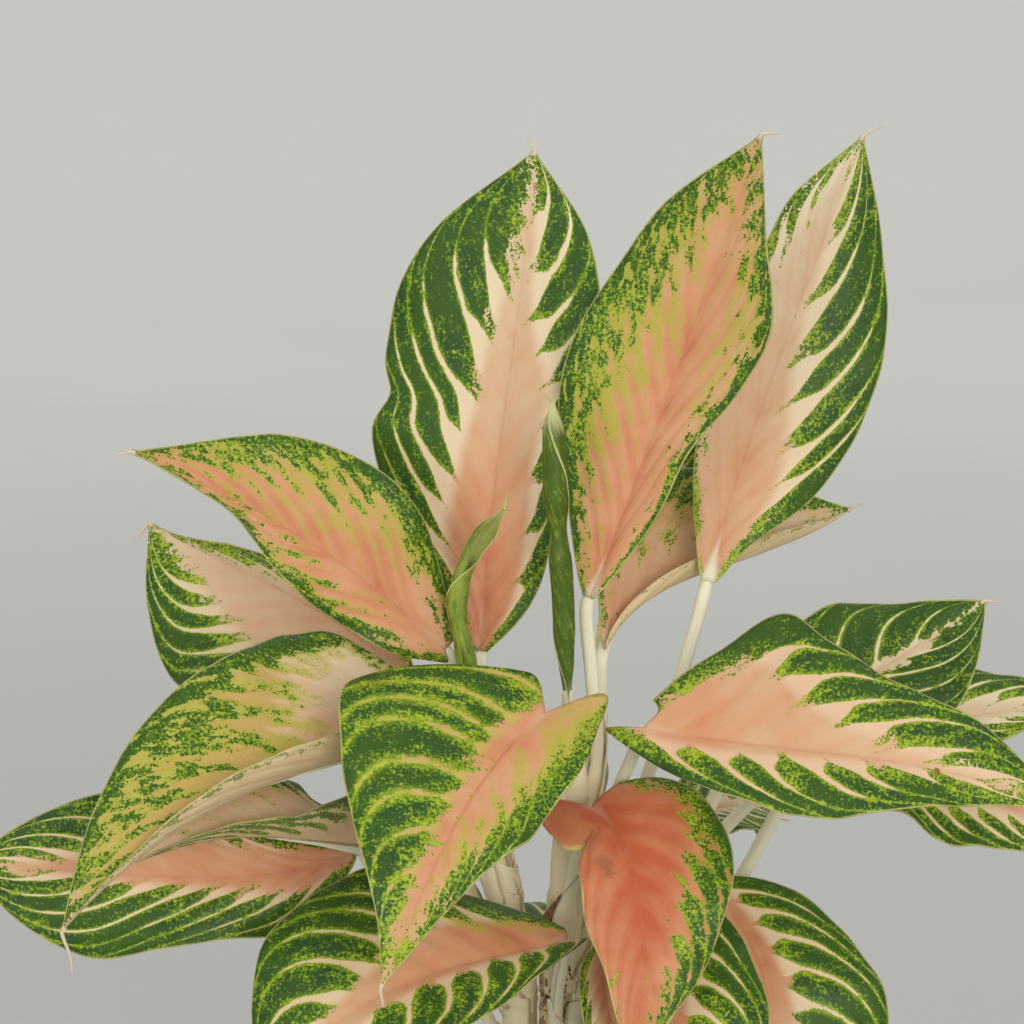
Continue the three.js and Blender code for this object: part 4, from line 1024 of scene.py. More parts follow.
class Path:
    """A smooth way through points, measured by length, with a frame that doesn't twist."""

    SAMPLES = 24

    def __init__(self, points, up=(0, -1, 0), up_at_end=False):
        self.points = [to_metres(p) for p in points]
        line = self.sampled()
        self.lengths = [0.0]
        for a, b in zip(line, line[1:]):
            self.lengths.append(self.lengths[-1] + (b - a).length)
        self.line = line
        self.length = self.lengths[-1]
        order = range(len(line))
        self.ups = [Vector(up)] * len(line)
        last = Vector(up)
        for i in reversed(order) if up_at_end else order:
            last = self.square(last, i)
            self.ups[i] = last

    def sampled(self):
        """A curve through every point, which doesn't loop where two lie close."""
        p = [2 * self.points[0] - self.points[1], *self.points, 2 * self.points[-1] - self.points[-2]]
        line = [self.points[0]]
        for a, b, c, d in zip(p, p[1:], p[2:], p[3:]):
            t1 = (b - a).length ** 0.5
            t2 = t1 + (c - b).length ** 0.5
            t3 = t2 + (d - c).length ** 0.5
            for step in range(1, self.SAMPLES + 1):
                t = t1 + (t2 - t1) * step / self.SAMPLES
                ab = a.lerp(b, t / t1)
                bc = b.lerp(c, (t - t1) / (t2 - t1))
                cd = c.lerp(d, (t - t2) / (t3 - t2))
                abc = ab.lerp(bc, t / t2)
                bcd = bc.lerp(cd, (t - t1) / (t3 - t1))
                line.append(abc.lerp(bcd, (t - t1) / (t2 - t1)))
        return line

    def along(self, i):
        return unit(self.line[min(i + 1, len(self.line) - 1)] - self.line[max(i - 1, 0)])

    def square(self, up, i):
        along = self.along(i)
        return unit(up - along * up.dot(along))

    def frame(self, share):
        """The matrix that puts a flat ring at a share of the way, square to the path."""
        target = share * self.length
        i = 0
        while i < len(self.lengths) - 2 and self.lengths[i + 1] < target:
            i += 1
        part = (target - self.lengths[i]) / (self.lengths[i + 1] - self.lengths[i])
        centre = self.line[i].lerp(self.line[i + 1], part)
        up = unit(self.ups[i].lerp(self.ups[i + 1], part))
        along = unit(self.along(i).lerp(self.along(i + 1), part))
        side = up.cross(along)
        return Matrix((side, up, along)).transposed().to_4x4(), centre


def tube(bm, path, radius_at, sides, steps, mark, section=None):
    """Sweeps a ring along a path by extruding its cap. mark is a number that tells one tube from another.

    section shapes the ring: it gives the radius at an angle as a share of the tube's radius there.
    """
    place = layer(bm, "place")
    ring = bmesh.ops.create_circle(bm, cap_ends=True, segments=sides, radius=1)["verts"]
    for vert in ring:
        angle = math.atan2(vert.co.x, vert.co.y)
        vert[place] = (angle / math.pi, 0, mark)
        if section:
            vert.co *= section(angle)
    cap = ring[0].link_faces[0]

    def at(share):
        turn, centre = path.frame(share)
        return Matrix.Translation(centre) @ turn @ Matrix.Scale(radius_at(share) * MM, 4)

    now = at(0)
    bmesh.ops.transform(bm, matrix=now, verts=ring)
    first = bmesh.ops.extrude_face_region(bm, geom=[cap], use_keep_orig=True)["geom"]
    for step in range(1, steps + 1):
        verts = [item for item in first if isinstance(item, bmesh.types.BMVert)]
        after = at(step / steps)
        bmesh.ops.transform(bm, matrix=after @ now.inverted(), verts=verts)
        for vert in verts:
            angle, _, _ = vert[place]
            vert[place] = (angle, step / steps, mark)
        now = after
        if step < steps:
            face = next(item for item in first if isinstance(item, bmesh.types.BMFace))
            first = bmesh.ops.extrude_face_region(bm, geom=[face])["geom"]
            bmesh.ops.delete(bm, geom=[face], context="FACES_ONLY")


# ---------- the leaf's form ----------
class Leaf:
    """One blade's middle surface, worked out from its row of the leaf table."""

    def __init__(self, name):
        for key, value in {**PLAIN_LEAF, **LEAVES[name]}.items():
            setattr(self, key, value)
        p0, p1, p2, p3 = [Vector(p) for p in self.midrib]
        self.controls = [
            p0, (-5 * p0 + 18 * p1 - 9 * p2 + 2 * p3) / 6, (2 * p0 - 9 * p1 + 18 * p2 - 5 * p3) / 6, p3,
        ]
        self.look = {**PLAIN_LOOK, **STYLES[LOOKS[name]["style"]], **LOOKS[name]}

    def centre(self, t):
        a, b, c, d = self.controls
        u = 1 - t
        return u ** 3 * a + 3 * u * u * t * b + 3 * u * t * t * c + t ** 3 * d

    def along(self, t):
        a, b, c, d = self.controls
        u = 1 - t
        return unit(u * u * (b - a) + 2 * u * t * (c - b) + t * t * (d - c))

    def frame(self, t):
        """Centre, direction along, direction up out of the upper face, and direction to the right."""
        along = self.along(t)
        up = Vector(self.faces[0]).lerp(Vector(self.faces[1]), t)
        up = unit(up - along * up.dot(along))
        return self.centre(t), along, up, along.cross(up)

    def half_width(self, t, side):
        """Smooth line through the half widths at the stations, pinched by the nick."""
        values = [*(self.right if side else self.left), 0]
        last = len(STATIONS) - 1

        def slope(i):
            low, high = max(i - 1, 0), min(i + 1, last)
            rise = (values[high] - values[low]) / (STATIONS[high] - STATIONS[low])
            return BASE_FLARE * rise if i == 0 else rise

        i = 0
        while i < last - 1 and t >= STATIONS[i + 1]:
            i += 1
        length = STATIONS[i + 1] - STATIONS[i]
        u = (t - STATIONS[i]) / length
        width = (
            (2 * u ** 3 - 3 * u * u + 1) * values[i] + (u ** 3 - 2 * u * u + u) * length * slope(i)
            + (3 * u * u - 2 * u ** 3) * values[i + 1] + (u ** 3 - u * u) * length * slope(i + 1)
        )
        nick_side, nick_at, nick_depth = self.nick
        if side == nick_side:
            width -= nick_depth * math.exp(-(((t - nick_at) / NICK_SPREAD) ** 2))
        return max(TIP_HALF_WIDTH, width)

    def swelling(self, t, share, side):
        """How far the blade stands up between its side veins and sinks over its midrib, in mm."""
        slant, lean, bend = self.look["slants"][side]
        s = (t - slant * share - bend * share ** 5) / (1 + lean * share)
        veins = [vein for vein, _ in self.look["veins"][side]]
        away = min(abs(s - vein) for vein in veins)
        gap = (veins[-1] - veins[0]) / (len(veins) - 1)
        puff = min(1, 2 * away / gap)
        envelope = 4 * share * (1 - share) * math.sin(math.pi * min(1, t + 0.1))
        return QUILT_HEIGHT * puff * (2 - puff) * envelope

    def point(self, t, q, frame_at):
        """The place on the middle surface: t from base to tip, q from the left margin to the right."""
        centre, along, up, across = frame_at
        side = int(q > 0)
        share = abs(q)
        width = self.half_width(t, side)
        rise = math.radians(self.fold[side])
        bend = math.radians(self.curl[side])
        out = width * (math.sin(rise) - math.sin(rise - bend * share)) / bend
        height = width * (math.cos(rise - bend * share) - math.cos(rise)) / bend
        wave_height, waves, phase = self.wave
        turn = waves * t + phase + HALF_SHIFT * side
        envelope = math.sqrt(max(0, math.sin(math.pi * t)))
        height += wave_height * share ** 2 * math.sin(2 * math.pi * turn) * envelope
        height += self.swelling(t, share, side)
        height -= RIB_GROOVE * (1 - t) * math.exp(-((share * width / RIB_GROOVE_WIDTH) ** 2))
        ripple_turn = RIPPLES * t + 3 * phase + side / 3
        height += RIPPLE * share ** 4 * math.sin(2 * math.pi * ripple_turn) * envelope
        back = -self.lobe[side] * max(0, math.sin(math.pi * share ** 1.4)) ** 0.8 * (1 - t) ** 3
        place = centre + across * math.copysign(1, q) * out + up * height + along * back
        return place, math.copysign(width * share, q), width


def make_blade(name):
    """The blade as a thin closed sheet with its curled tail."""
    leaf = Leaf(name)
    bm = sheet_bmesh()
    place, flat = layer(bm, "place"), layer(bm, "flat")
    verts = rows_and_columns(bm, BLADE_COLUMNS, BLADE_ROWS)
    length = sum((Vector(a) - Vector(b)).length for a, b in zip(leaf.midrib, leaf.midrib[1:]))
    frames = {}
    for vert in verts:
        q, t = vert.co.x, (vert.co.y + 1) / 2
        key = round(t * BLADE_ROWS)
        if key not in frames:
            frames[key] = leaf.frame(t)
        point, aside, width = leaf.point(t, q, frames[key])
        vert.co = point * MM
        vert[place] = (q, t, 0)
        vert[flat] = (aside * MM, t * length * MM, width * MM)
    thin_sheet(bm, verts, BLADE_THICKNESS / 2)
    add_tail(bm, leaf, length)
    drop_layers(bm, "out")
    material = LeafFinish(name, leaf, length).make()
    return new_piece(f"blade_{name}", bm, [material], f"leaf_{name}")


def add_tail(bm, leaf, length):
    """The thin pale thread that the tip runs out into, with a small hook at its end."""
    centre, along, up, _ = leaf.frame(1)
    tail = Vector(leaf.tail)
    hook = up * 0.35 * tail.length
    start = centre - along * 2
    path = Path([start, centre, centre + tail * 0.55 + hook * 0.1, centre + tail * 0.9 + hook * 0.6], up)
    add_thread(bm, path, TAIL_STEPS, 0.95, 0.2, (0, length * MM, TIP_HALF_WIDTH * MM))


def add_thread(bm, path, steps, foot, tip, laid_flat=(0, 0, 0)):
    """A thread along a path, which counts as the blade's tip. foot and tip are its radii."""
    place, flat = layer(bm, "place"), layer(bm, "flat")
    before = set(bm.verts)
    tube(bm, path, lambda share: foot + (tip - foot) * share, THREAD_SIDES, steps, 0)
    for vert in set(bm.verts) - before:
        vert[place] = (0, 1, 0)
        vert[flat] = laid_flat


# ---------- stalks and canes ----------
def stalk_finish():
    """Cream stalk skin with greener streaks, tan at the foot, and the thin dried rims of the sheaths."""
    f = Finish("stalk_skin", Specular_IOR_Level=0.3)
    around, share, mark = f.attribute("place")
    streaks = f.noise(f.combine(around * 5, share * 2, mark), 2.5, 3, 0.55)
    where = f.where()
    grain = f.noise(where, 140, 2)
    speck = f.noise(where, 520, 1)
    colour = f.blend(0.6 * (0.5 + 1.2 * streaks).step(0.45, 0.95), STALK_CREAM, STALK_GREEN)
    colour = f.blend(0.85 * (share + 0.5 * grain + 0.4 * streaks).step(0.42, 0.05), colour, SHEATH_TAN)
    shell = mark.maths("FRACT") > 0.25
    rim = shell * (around.size() + 0.12 * grain).step(0.9, 0.97)
    colour = f.blend(0.45 * rim, colour, DRIED_BROWN)
    colour = f.blend(0.5 * (grain + 0.6 * speck).step(0.3, 0.36), colour, DRIED_BROWN)
    return f.finish(colour, 0.42 + 0.2 * grain, streaks, 0.15)


def cane_finish():
    """Cream to tan cane with brown ring scars."""
    f = Finish("cane_bark", Specular_IOR_Level=0.25)
    around, share, ring = f.attribute("place")
    where = f.where()
    grain = f.noise(where, 220, 3, 0.6)
    patches = f.noise(where, 45, 2)
    colour = f.blend((0.5 + 1.4 * patches).step(0.2, 0.8), CANE_TAN, CANE_GREEN)
    colour = f.blend(0.75 * (ring + 0.5 * grain).step(0.55, 0.95), colour, DRIED_BROWN)
    colour = f.blend(0.5 * (grain + 0.4 * patches).step(0.1, 0.3), colour, DRIED_BROWN)
    return f.finish(colour, 0.6 + 0.3 * grain, grain, 0.6)


def husk_finish():
    """Dry brown skin of old sheaths and scars."""
    f = Finish("dried_husk", Specular_IOR_Level=0.15)
    where = f.where()
    grain = f.noise(where, 480, 3, 0.65)
    patches = f.noise(where, 130, 2)
    colour = f.blend((0.5 + 1.3 * grain).step(0.2, 0.8), DRIED_BROWN, HUSK_TAN)
    colour = f.blend(0.6 * (0.5 + 2 * patches).step(0.5, 0.9), colour, HUSK_PALE)
    return f.finish(colour, 0.85, grain + patches, 0.8)


def stalk_section(angle):
    """A round stalk with a shallow channel along its upper side."""
    return 1 - 0.18 * math.exp(-((angle / 0.5) ** 2))


class Stalk:
    """A stalk's way from its cane to the blade, and on under the blade as its midrib."""

    def __init__(self, leaf):
        centre, along, up, _ = leaf.frame(0)
        tuck = LOBE_TUCK if max(leaf.lobe) > 5 else 0
        under = [centre - along * (SET_BACK - tuck) - up * (SET_DOWN + tuck)]
        for t, drop in MIDRIB_DROPS:
            at, _, up_here, _ = leaf.frame(t)
            under.append(at - up_here * (drop + RIB_GROOVE * (1 - t)))
        self.path = Path([*leaf.route, *under], up, up_at_end=True)
        self.to_blade = Path([*leaf.route, under[0]]).length / self.path.length

    def radius(self, share):
        if share >= self.to_blade:
            past = (share - self.to_blade) / (1 - self.to_blade)
            return (STALK_TOP_RADIUS - STALK_END) * (1 - past) ** 1.2 + STALK_END
        sheath = max(0, 1 - share / self.to_blade / SHEATH_SHARE)
        return STALK_TOP_RADIUS + (SHEATH_RADIUS - STALK_TOP_RADIUS) * sheath ** SHEATH_TAPER


def add_stalk(bm, leaf, mark):
    """The stalk as a tube, and the open sheath round its lower part."""
    stalk = Stalk(leaf)
    steps = int(stalk.path.length / MM / STALK_STEP)
    tube(bm, stalk.path, stalk.radius, STALK_SIDES, steps, mark, stalk_section)
    place = layer(bm, "place")
    verts = rows_and_columns(bm, SHEATH_COLUMNS, SHEATH_ROWS)
    for vert in verts:
        q, along = vert.co.x, (vert.co.y + 1) / 2
        share = (0.02 + along * (SHEATH_REACH + 0.05 * q)) * stalk.to_blade
        wrap = math.radians(28 + 122 * (1 - along ** 4))
        angle = math.pi + q * wrap
        proud = SHEATH_SKIN + SHEATH_LIFT * abs(q) ** 4 * (0.3 + along)
        radius = (stalk.radius(share) + proud) * MM
        turn, centre = stalk.path.frame(share)
        vert.co = centre + turn @ Vector((math.sin(angle) * radius, math.cos(angle) * radius, 0))
        vert[place] = (q, share, mark + 0.5)
    thin_sheet(bm, verts, SHEATH_THICKNESS / 2, under_mark=mark + 0.5)


def add_clasp(bm, cane_path, cane_radius, share, outward, mark):
    """An old sheath foot that wraps the cane, higher on the side that its stalk leans to."""
    place = layer(bm, "place")
    verts = rows_and_columns(bm, CLASP_COLUMNS, CLASP_ROWS)
    for vert in verts:
        q, up = vert.co.x, (vert.co.y + 1) / 2
        angle = q * math.radians(CLASP_WRAP)
        lean = 0.5 + 0.5 * math.cos(angle)
        rise = (-CLASP_FOOT + up * (CLASP_FOOT + CLASP_RISE * (0.35 + 0.65 * lean))) * MM
        here = min(0.995, share + rise / cane_path.length)
        turn, centre = cane_path.frame(here)
        radius = (cane_radius(here) + 0.35 + 1.1 * up * up) * MM
        around = Matrix.Rotation(angle, 3, "Z") @ outward
        up_axis = turn.to_3x3().col[2]
        around = unit(around - up_axis * around.dot(up_axis))
        vert.co = centre + around * radius
        vert[place] = (q, 0.25 * up, mark + 0.5)
    thin_sheet(bm, verts, CLASP_THICKNESS / 2, under_mark=mark + 0.5)


def make_stems(name, stalk_material, cane_material, husk_material):
    """One cane with ring scars and sheath feet, and the stalks that grow from it."""
    bm = sheet_bmesh()
    path = Path(CANES[name])
    steps = int(path.length / MM / CANE_STEP)

    def ring_height(share):
        turn = share * path.length / MM / NODE_SPACING
        return math.exp(-(((turn % 1) - 0.5) / 0.09) ** 2)

    def cane_radius(share):
        return CANE_RADIUS + (CANE_TOP_RADIUS - CANE_RADIUS) * share + 0.35 * ring_height(share)

    tube(bm, path, cane_radius, CANE_SIDES, steps, 0)
    place = layer(bm, "place")
    for vert in bm.verts:
        angle, share, _ = vert[place]
        vert[place] = (angle, share, ring_height(share))
    for face in bm.faces:
        face.material_index = 1
    foot, top = Vector(CANES[name][0]).z, Vector(CANES[name][-1]).z
    for mark, (leaf_name, row) in enumerate(LEAVES.items()):
        if row["cane"] != name:
            continue
        add_stalk(bm, Leaf(leaf_name), mark)
        start, away = Vector(row["route"][0]), Vector(row["route"][-1])
        outward = unit(Vector((away.x - start.x, away.y - start.y, 0)))
        add_clasp(bm, path, cane_radius, (start.z - foot) / (top - foot), outward, mark)
    if name in YOUNG_LEAVES:
        young = YOUNG_LEAVES[name]
        narrowing = young["radii"][0] - 0.3 - CANE_TOP_RADIUS
        stub = Path([CANES[name][-1], young["path"][0], young["path"][1]])
        tube(bm, stub, lambda share: CANE_TOP_RADIUS + narrowing * share, STALK_SIDES, 24, 40)
    if name == "centre":
        add_husks(bm)
    drop_layers(bm, "flat", "out")
    materials = [stalk_material, cane_material, husk_material]
    return new_piece(f"cane_{name}", bm, materials, f"stems_{name}")


def add_husks(bm):
    """The flaky scar on the front of the middle cane, and a dried wedge of sheath above it."""
    draw = random.Random(3)
    for _ in range(HUSK_FLAKES):
        x, z = draw.uniform(*SCAR_SIDES), draw.uniform(*SCAR_HEIGHTS)
        y = -6 - math.sqrt(max(0, 7.2 ** 2 - (x + 1) ** 2)) + 0.4
        turn = Matrix.Rotation(draw.uniform(0, 6.28), 4, "Y")
        tip = Matrix.Rotation(draw.uniform(-0.5, 0.5), 4, "X")
        long, thick, wide = draw.uniform(1.4, 3.2), draw.uniform(0.3, 0.7), draw.uniform(0.7, 1.6)
        stretch = Matrix.Diagonal((long, thick, wide, 1))
        add_flake(bm, draw, Matrix.Translation(Vector((x, y, z)) * MM) @ turn @ tip @ stretch)
    wedge = Matrix.Translation(Vector(WEDGE_PLACE) * MM) @ Matrix.Rotation(0.5, 4, "Y")
    spike = bmesh.ops.create_cone(bm, cap_ends=True, segments=14, radius1=3 * MM, radius2=0.2 * MM,
                                  depth=15 * MM, matrix=wedge @ Matrix.Diagonal((1, 0.3, 1, 1)))["verts"]
    roughen(bm, spike, draw)


def add_flake(bm, draw, matrix):
    roughen(bm, bmesh.ops.create_icosphere(bm, subdivisions=2, radius=MM, matrix=matrix)["verts"], draw)


def roughen(bm, verts, draw):
    """Makes verts uneven and gives their faces the dried finish."""
    for vert in verts:
        vert.co += Vector([draw.uniform(-0.14, 0.14) * MM for _ in range(3)])
        for face in vert.link_faces:
            face.material_index = 2


# ---------- rolled young leaves ----------
def young_finish(name, light):
    """Green roll with lighter streaks along it, a pale edge, and a cream foot."""
    f = Finish(f"young_leaf_{name}", Specular_IOR_Level=0.25)
    q, t, under = f.attribute("place")
    streaks = f.noise(f.combine(q * 7, t * 6, 1), 2.0, 3, 0.6)
    where = f.where()
    fine = f.noise(where, 650, 2)
    patch = f.noise(where, 160, 2)
    tone = 0.3 + light + 1.4 * streaks + 0.8 * patch
    colour = f.blend(tone.step(0.25, 0.95), YOUNG_DARK, YOUNG_LIGHT)
    colour = f.blend(0.5 * (fine + 0.5 * streaks + 0.5 * patch).step(0.1, 0.25), colour, LIME_SPECK)
    colour = f.blend(0.9 * (q + 0.05 * fine).step(0.95, 0.98), colour, ROLL_EDGE)
    colour = f.blend((t + 0.08 * streaks).step(0.9, 0.98), colour, ROLL_TIP)
    colour = f.blend((t + 0.15 * streaks).step(0.3, 0.16), colour, STALK_GREEN)
    colour = f.blend(0.6 * (1 - under), colour, ROLL_FACE)
    return f.finish(colour, 0.45 + 0.1 * fine, streaks, 0.3)


def evenly(values, share):
    """The value at a share of the way through evenly spaced values."""
    part = share * (len(values) - 1)
    i = min(int(part), len(values) - 2)
    u = part - i
    u = u * u * (3 - 2 * u)
    return values[i] + (values[i + 1] - values[i]) * u


def make_young_leaf(name, light):
    """A blade still rolled round itself, as a thin sheet wound along its path."""
    young = YOUNG_LEAVES[name]
    path = Path(young["path"])
    bm = sheet_bmesh()
    place = layer(bm, "place")
    verts = rows_and_columns(bm, ROLL_COLUMNS, ROLL_ROWS)
    for vert in verts:
        q, share = vert.co.x, (vert.co.y + 1) / 2
        radius = evenly(young["radii"], share)
        wound = (q + 1) / 2
        loose = min(1, max(0, (share - 0.5) / 0.3)) ** 2
        turns = young["opens"][0] + (young["opens"][1] - young["opens"][0]) * loose
        start, turned = young["twist"]
        angle = start + turned * share + 2 * math.pi * turns * (wound - 0.5)
        reach = radius * min(1, ROLL_INNER + (1.1 + loose) * wound) + 0.5 * max(0, q) ** 8
        reach *= 1 + 0.05 * math.sin(11 * share + 2 * angle)
        turn, centre = path.frame(share)
        vert.co = centre + turn.to_3x3() @ Vector((math.sin(angle), math.cos(angle), 0)) * reach * MM
        vert[place] = (q, share, 0)
    thin_sheet(bm, verts, ROLL_THICKNESS / 2)
    tip = Vector(young["path"][-1])
    thread = Path([tip - Vector((0, 0, 1.5)), tip, tip + Vector(young["tail"])])
    add_thread(bm, thread, ROLL_TAIL_STEPS, 0.8, 0.2)
    drop_layers(bm, "flat", "out")
    material = young_finish(name, light)
    return new_piece(f"rolled_leaf_{name}", bm, [material], f"young_leaf_{name}")


# ---------- pot and soil ----------
POT_FLARE = (POT_RIM_RADIUS - POT_LIP_STEP - POT_BASE_RADIUS) / POT_HEIGHT


def pot_outer(height):
    return POT_BASE_RADIUS + POT_FLARE * height


def pot_inner(height):
    return pot_outer(height) - POT_WALL


def pot_finish():
    """Warm white glaze with faint pooling and pinholes, bare clay under the foot."""
    f = Finish("pot_glaze", Specular_IOR_Level=0.5, Coat_Weight=0.25, Coat_Roughness=0.18)
    where = f.where()
    pooling = f.noise(where, 9, 3)
    pits = f.noise(where, 420, 1)
    height = Wire(f.tree, add(f.tree, "ShaderNodeSeparateXYZ", None, [where]).outputs[2])
    colour = f.blend((0.5 + 1.2 * pooling).step(0.2, 0.8), GLAZE, POOLED_GLAZE)
    colour = f.blend(0.35 * pits.step(0.26, 0.34), colour, PINHOLE)
    bare = 1 - (height + 0.8 * MM * pits).step(0.6 * MM, 2.2 * MM)
    colour = f.blend(bare, colour, BARE_CLAY)
    return f.finish(colour, 0.3 + 0.12 * pooling + 0.4 * bare, pooling + 0.35 * pits, 0.3)


def arc(centre, radius, start, stop, steps):
    """Points of a round corner in the pot's profile, angles in degrees from outwards to up."""
    radius_at, height_at = centre
    for step in range(steps + 1):
        angle = math.radians(start + (stop - start) * step / steps)
        yield radius_at + radius * math.cos(angle), height_at + radius * math.sin(angle)


def make_pot():
    """The pot's profile spun round, with its drainage holes cut through the floor."""
    lip_bottom = POT_HEIGHT - POT_LIP_HEIGHT
    rim = (POT_RIM_RADIUS - pot_inner(POT_HEIGHT)) / 2
    profile = [
        (0, 0), (POT_BASE_RADIUS - 4, 0),
        *arc((POT_BASE_RADIUS - 3, 3), 3, -90, 0, 5),
        (pot_outer(lip_bottom - 4), lip_bottom - 4),
        (pot_outer(lip_bottom - 1.6) + 0.3, lip_bottom - 1.6),
        *arc((POT_RIM_RADIUS - 1.5, lip_bottom + 1.2), 1.5, -80, 0, 4),
        *arc((POT_RIM_RADIUS - 2.5, POT_HEIGHT - 2.5), 2.5, 0, 90, 5),
        *arc((POT_RIM_RADIUS - 2 * rim + 2.5, POT_HEIGHT - 2.5), 2.5, 90, 180, 5),
        (pot_inner(POT_FLOOR + 5), POT_FLOOR + 5),
        *arc((pot_inner(POT_FLOOR) - 5, POT_FLOOR + 5), 5, 0, -90, 4),
        (0, POT_FLOOR),
    ]
    bm = spun([(radius * MM, height * MM) for radius, height in profile], 120)
    pot = new_piece("glazed_pot", bm, [pot_finish()], "pot")
    drills = bmesh.new()
    for hole in range(DRAIN_HOLES):
        angle = 2 * math.pi * hole / DRAIN_HOLES
        at = Vector((math.cos(angle), math.sin(angle), 0)) * DRAIN_RING_RADIUS * MM
        bmesh.ops.create_cone(drills, cap_ends=True, segments=32, radius1=DRAIN_RADIUS * MM,
                              radius2=DRAIN_RADIUS * MM, depth=4 * POT_FLOOR * MM,
                              matrix=Matrix.Translation(at))
    cut_out(pot, drills)
    pot.data.polygons.foreach_set("use_smooth", [True] * len(pot.data.polygons))
    pot.data.set_sharp_from_angle(angle=math.radians(40))
    return pot


def cut_out(piece, cutter_bmesh):
    """Cuts a closed shape out of a piece and keeps the result as the piece's own mesh."""
    mesh = bpy.data.meshes.new("cutter")
    cutter_bmesh.to_mesh(mesh)
    cutter_bmesh.free()
    cutter = new_object("cutter", mesh)
    modifier = piece.modifiers.new("cut", "BOOLEAN")
    modifier.operation = "DIFFERENCE"
    modifier.solver = "EXACT"
    modifier.object = cutter
    bpy.context.view_layer.update()
    shown = piece.evaluated_get(bpy.context.evaluated_depsgraph_get())
    cut = bpy.data.meshes.new_from_object(shown)
    piece.modifiers.clear()
    piece.data = cut
    bpy.data.objects.remove(cutter)


def soil_finish():
    """Dark crumbly soil, lighter where it is dry."""
    f = Finish("potting_soil", Specular_IOR_Level=0.15)
    where = f.where()
    crumbs = f.noise(where, 420, 4, 0.7)
    damp = f.noise(where, 30, 3)
    colour = f.blend((0.5 + 1.3 * crumbs).step(0.15, 0.85), DAMP_SOIL, SOIL_CRUMB)
    colour = f.blend(0.5 * (damp + 0.05).step(0, 0.3), colour, DRY_SOIL)
    return f.finish(colour, 0.95, crumbs, 1.6)


def bit_finish(name, colour, darker):
    """Perlite or bark: a plain colour broken up by grain."""
    f = Finish(name, Specular_IOR_Level=0.2)
    grain = f.noise(f.where(), 700, 3, 0.6)
    return f.finish(f.blend((0.5 + grain).step(0.2, 0.8), colour, darker), 0.9, grain, 0.5)


def soil_height(x, y):
    """Height of the soil's surface in mm: a low crown, clods and fine crumbs."""
    share = math.hypot(x, y) / pot_inner(SOIL_TOP)
    clods = 1.6 * noise.noise(Vector((x, y, 0)) * 0.09) + 1.1 * noise.noise(Vector((x, y, 5)) * 0.3)
    crumbs = 0.6 * noise.noise(Vector((x, y, 9)) * 0.9)
    return SOIL_TOP + SOIL_CROWN * (1 - share ** 2) + clods + crumbs


def make_soil():
    """The soil's surface with bark and perlite in it, as a thick disc that fills the pot's mouth."""
    bm = sheet_bmesh()
    edge = pot_inner(SOIL_TOP) - 0.4
    verts = rows_and_columns(bm, SOIL_COLUMNS, SOIL_COLUMNS)
    for vert in verts:
        x, y, _ = vert.co
        disc = Vector((x * math.sqrt(1 - y * y / 2), y * math.sqrt(1 - x * x / 2))) * edge
        vert.co = Vector((disc.x, disc.y, soil_height(disc.x, disc.y))) * MM
    below = thin_sheet(bm, verts, 0)
    inwards = pot_inner(SOIL_TOP - SOIL_DEPTH) / pot_inner(SOIL_TOP)
    for vert in below:
        vert.co.z = (SOIL_TOP - SOIL_DEPTH) * MM
        vert.co.x *= inwards
        vert.co.y *= inwards
    draw = random.Random(7)
    for kind, count, low, high in ((1, BARK_BITS, 1.2, 3.6), (2, PERLITE_BITS, 0.9, 2.2)):
        for _ in range(count):
            add_bit(bm, draw, kind, edge, draw.uniform(low, high))
    drop_layers(bm, "place", "flat", "out")
    bark = bit_finish("bark_bits", BARK, BARK_SHADE)
    perlite = bit_finish("perlite", PERLITE, PERLITE_SHADE)
    materials = [soil_finish(), bark, perlite]
    return new_piece("soil_surface", bm, materials, "soil", smooth=False)


def add_bit(bm, draw, kind, edge, size):
    """One crumb of bark or perlite, half sunk in the soil."""
    angle = draw.uniform(0, 2 * math.pi)
    away = (edge - 5) * math.sqrt(draw.random())
    x, y = away * math.cos(angle), away * math.sin(angle)
    at = Vector((x, y, soil_height(x, y) + 0.15 * size)) * MM
    turn = Matrix.Rotation(draw.uniform(0, 6.28), 4, "Z") @ Matrix.Rotation(draw.uniform(-0.5, 0.5), 4, "X")
    stretch = Matrix.Diagonal((1, draw.uniform(0.4, 0.9), draw.uniform(0.3, 0.7), 1))
    made = bmesh.ops.create_icosphere(
        bm, subdivisions=1, radius=size * MM, matrix=Matrix.Translation(at) @ turn @ stretch)["verts"]
    for vert in made:
        vert.co += Vector([draw.uniform(-0.16, 0.16) * size * MM for _ in range(3)])
        for face in vert.link_faces:
            face.material_index = kind


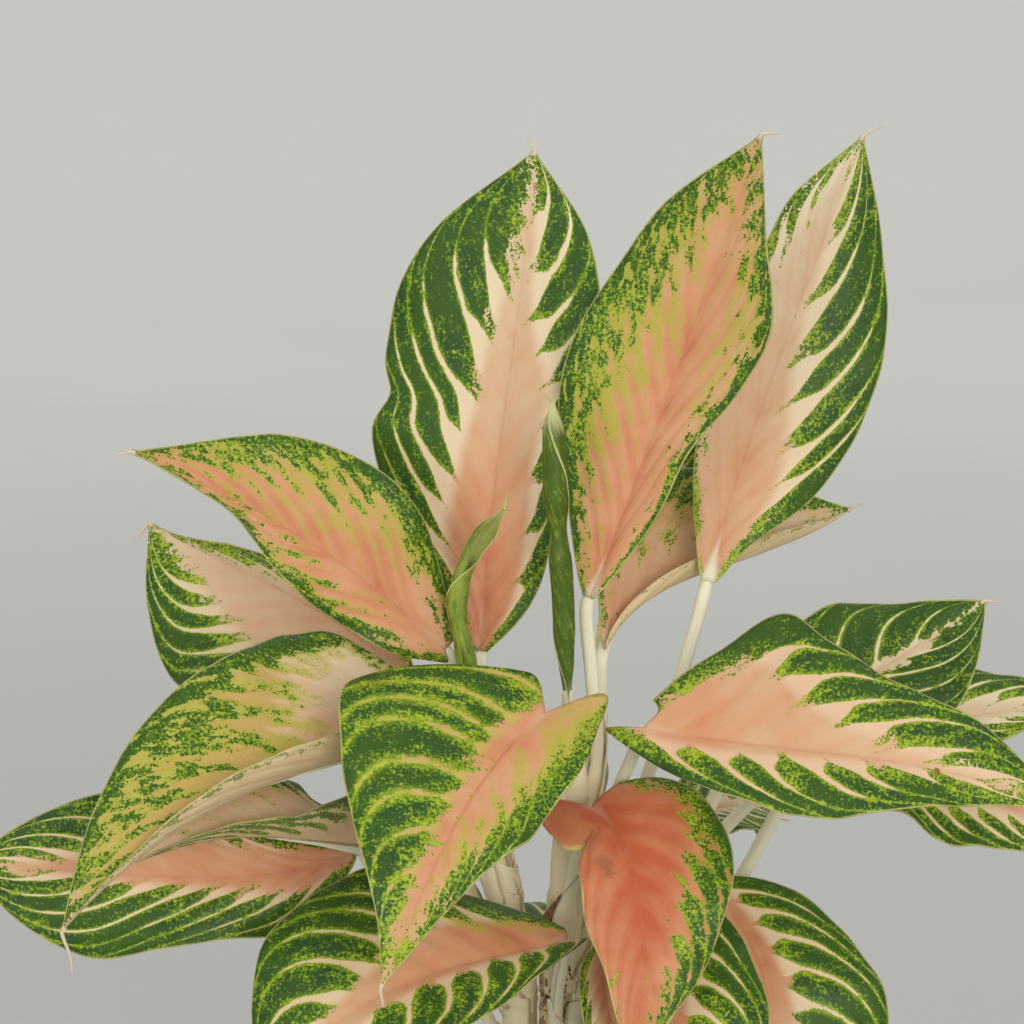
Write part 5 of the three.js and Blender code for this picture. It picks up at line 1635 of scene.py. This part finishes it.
# ---------- stage ----------
def make_camera():
    camera = new_object("camera", bpy.data.cameras.new("camera"))
    elevation = math.radians(CAMERA_ELEVATION)
    back = Vector((0, -math.cos(elevation), math.sin(elevation)))
    camera.location = (Vector(CAMERA_TARGET) + back * CAMERA_DISTANCE) * MM
    camera.rotation_euler = (math.pi / 2 - elevation, 0, 0)
    camera.data.sensor_width = SENSOR
    camera.data.lens = SENSOR * CAMERA_DISTANCE / FRAME_WIDTH
    camera.data.clip_start = 0.05
    camera.data.clip_end = 100
    bpy.context.scene.camera = camera


def make_light(name, place, size, power, colour):
    """A round soft lamp, which the camera doesn't see."""
    data = bpy.data.lights.new(name, "AREA")
    data.shape = "DISK"
    data.size = size
    data.energy = power
    data.spread = math.radians(LIGHT_SPREAD)
    data.color = colour
    light = new_object(name, data)
    light.location = place
    light.rotation_euler = (Vector(LIGHT_TARGET) - Vector(place)).to_track_quat("-Z", "Y").to_euler()
    light.visible_camera = False


def make_floor():
    """A pale floor that sweeps up into a round backdrop, with painted shade that darkens it towards the
    plant.
    """
    f = Finish("floor", Specular_IOR_Level=0.1)
    length = add(f.tree, "ShaderNodeVectorMath", {"operation": "LENGTH"}, [f.where()])
    away = Wire(f.tree, length.outputs["Value"])
    tint = 0.3 * f.noise(f.where(), 1.5, 2)
    # painted shade: the floor goes from the far colour at 4 m to the darker near colour at 0.6 m round the
    # pot
    material = f.finish(f.blend(away.step(0.6, 4) + tint, NEAR_FLOOR_SHADE, FAR_FLOOR), 0.9)
    profile = [(0, 0), (FLOOR_RADIUS, 0)]
    for step in range(1, BACKDROP_STEPS + 1):
        angle = math.radians(90 * step / BACKDROP_STEPS)
        profile.append((FLOOR_RADIUS + (BACKDROP_RADIUS - FLOOR_RADIUS) * math.sin(angle),
                        BACKDROP_HEIGHT * (1 - math.cos(angle))))
    new_shape("floor", spun(profile, 96), [material])


def make_stage():
    """The floor, an even sky, and soft light from the front."""
    make_floor()
    world = bpy.data.worlds.new("studio")
    world.use_nodes = True
    background = world.node_tree.nodes["Background"]
    background.inputs["Color"].default_value = (*SKY_COLOUR, 1)
    background.inputs["Strength"].default_value = SKY_STRENGTH
    bpy.context.scene.world = world
    for name, light in LIGHTS.items():
        make_light(name, **light)
    bpy.context.scene.view_settings.view_transform = "Standard"


# ---------- the plant ----------
make_camera()
make_stage()
make_pot()
make_soil()
stalk_material = stalk_finish()
cane_material = cane_finish()
husk_material = husk_finish()
for cane in CANES:
    make_stems(cane, stalk_material, cane_material, husk_material)
for leaf_name in LEAVES:
    make_blade(leaf_name)
make_young_leaf("centre", 0.0)
make_young_leaf("left", 0.4)
